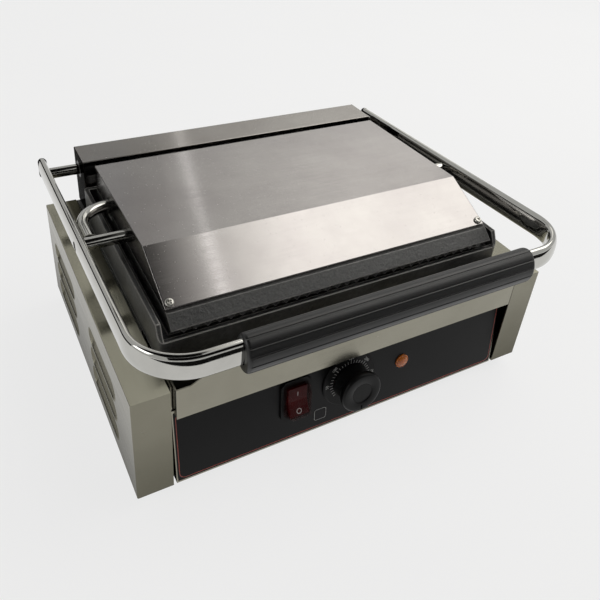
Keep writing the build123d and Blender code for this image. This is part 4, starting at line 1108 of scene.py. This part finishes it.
# graded softboxes, dim at the left edge, full at the right
softboxes = {
    "softboxRight": {
        "corners": [(0.15, -1.0, 1.9), (0.15, 0.9, 1.9), (2.3, 0.9, 1.45), (2.3, -1.0, 1.45)],
        "dimAt": 0.24, "dim": 0.08, "fullAt": 0.72, "full": 2.6,
    },
    "softboxBack": {
        "corners": [(0.55, 2.75, 1.35), (2.6, 2.4, 1.35), (2.6, 2.4, 2.3), (0.55, 2.75, 2.3)],
        "dimAt": 0.55, "dim": 0.6, "fullAt": 1.9, "full": 1.5,
    },
}
clothWhite = linear("#fffdf8")
for softboxName, softbox in softboxes.items():
    clothMaterial, tree, coords = newMaterial(softboxName + "Cloth")
    place = addNode(tree, "ShaderNodeSeparateXYZ", {}, {"Vector": coords})
    graded = addNode(
        tree, "ShaderNodeMapRange",
        {
            "From Min": softbox["dimAt"], "From Max": softbox["fullAt"],
            "To Min": softbox["dim"], "To Max": softbox["full"],
        },
        {"Value": place.outputs["X"]},
    )
    glow = addNode(tree, "ShaderNodeEmission", {"Color": clothWhite}, {"Strength": graded})
    addNode(tree, "ShaderNodeOutputMaterial", {}, {"Surface": glow})
    addCard(softboxName, softbox["corners"], clothMaterial)

# lamps: two thin strips whose reflections draw the pale streak on the lid's slope and top, and a soft fill
lampSettings = {
    "stripOverhead": {
        "start": (0.44, -0.65, 1.75), "end": (0.385, 0.25, 1.75), "width": 0.02, "watts": 0.16,
    },
    "stripBack": {"start": (0.525, 2.0, 0.85), "end": (0.765, 2.0, 1.85), "width": 0.02, "watts": 0.11},
    "fillLeft": {"start": (-2.2, -0.6, 1.2), "end": (-2.2, 0.6, 1.2), "width": 0.9, "watts": 9.0},
}
aim = Vector((0, 0, 0.17))
for lampName, lamp in lampSettings.items():
    light = bpy.data.lights.new(lampName, "AREA")
    light.shape = "RECTANGLE"
    start, end = Vector(lamp["start"]), Vector(lamp["end"])
    light.size, light.size_y = lamp["width"], (end - start).length
    light.energy = lamp["watts"]
    middle = (start + end) / 2
    lengthwise = (end - start).normalized()
    outward = middle - aim
    outward = (outward - lengthwise * outward.dot(lengthwise)).normalized()
    holder = bpy.data.objects.new(lampName, light)
    bpy.context.scene.collection.objects.link(holder)
    turned = Matrix((lengthwise.cross(outward), lengthwise, outward)).transposed().to_4x4()
    holder.matrix_world = Matrix.Translation(middle) @ turned

cameraSettings = {
    "azimuth": -30.698, "elevation": 31.970, "roll": 4.725, "place": (-295.30, -490.95, 525.14),
    "lens": 39.916, "sensor": 36.0, "shiftX": 0.01445, "shiftY": -0.14468,
}
azimuth = math.radians(cameraSettings["azimuth"])
elevation = math.radians(cameraSettings["elevation"])
roll = math.radians(cameraSettings["roll"])
back = Vector((
    math.sin(azimuth) * math.cos(elevation), -math.cos(azimuth) * math.cos(elevation), math.sin(elevation),
))
right = Vector((math.cos(azimuth), math.sin(azimuth), 0))
up = back.cross(right)
rolledRight = right * math.cos(roll) + up * math.sin(roll)
rolledUp = up * math.cos(roll) - right * math.sin(roll)
camera = bpy.data.objects.new("camera", bpy.data.cameras.new("camera"))
camera.data.lens = cameraSettings["lens"]
camera.data.sensor_width = cameraSettings["sensor"]
camera.data.shift_x = cameraSettings["shiftX"]
camera.data.shift_y = cameraSettings["shiftY"]
camera.matrix_world = (
    Matrix.Translation(Vector(cameraSettings["place"]) * mm)
    @ Matrix((rolledRight, rolledUp, back)).transposed().to_4x4()
)
bpy.context.scene.collection.objects.link(camera)
bpy.context.scene.camera = camera
bpy.context.scene.view_settings.view_transform = "Standard"
print("stage set")
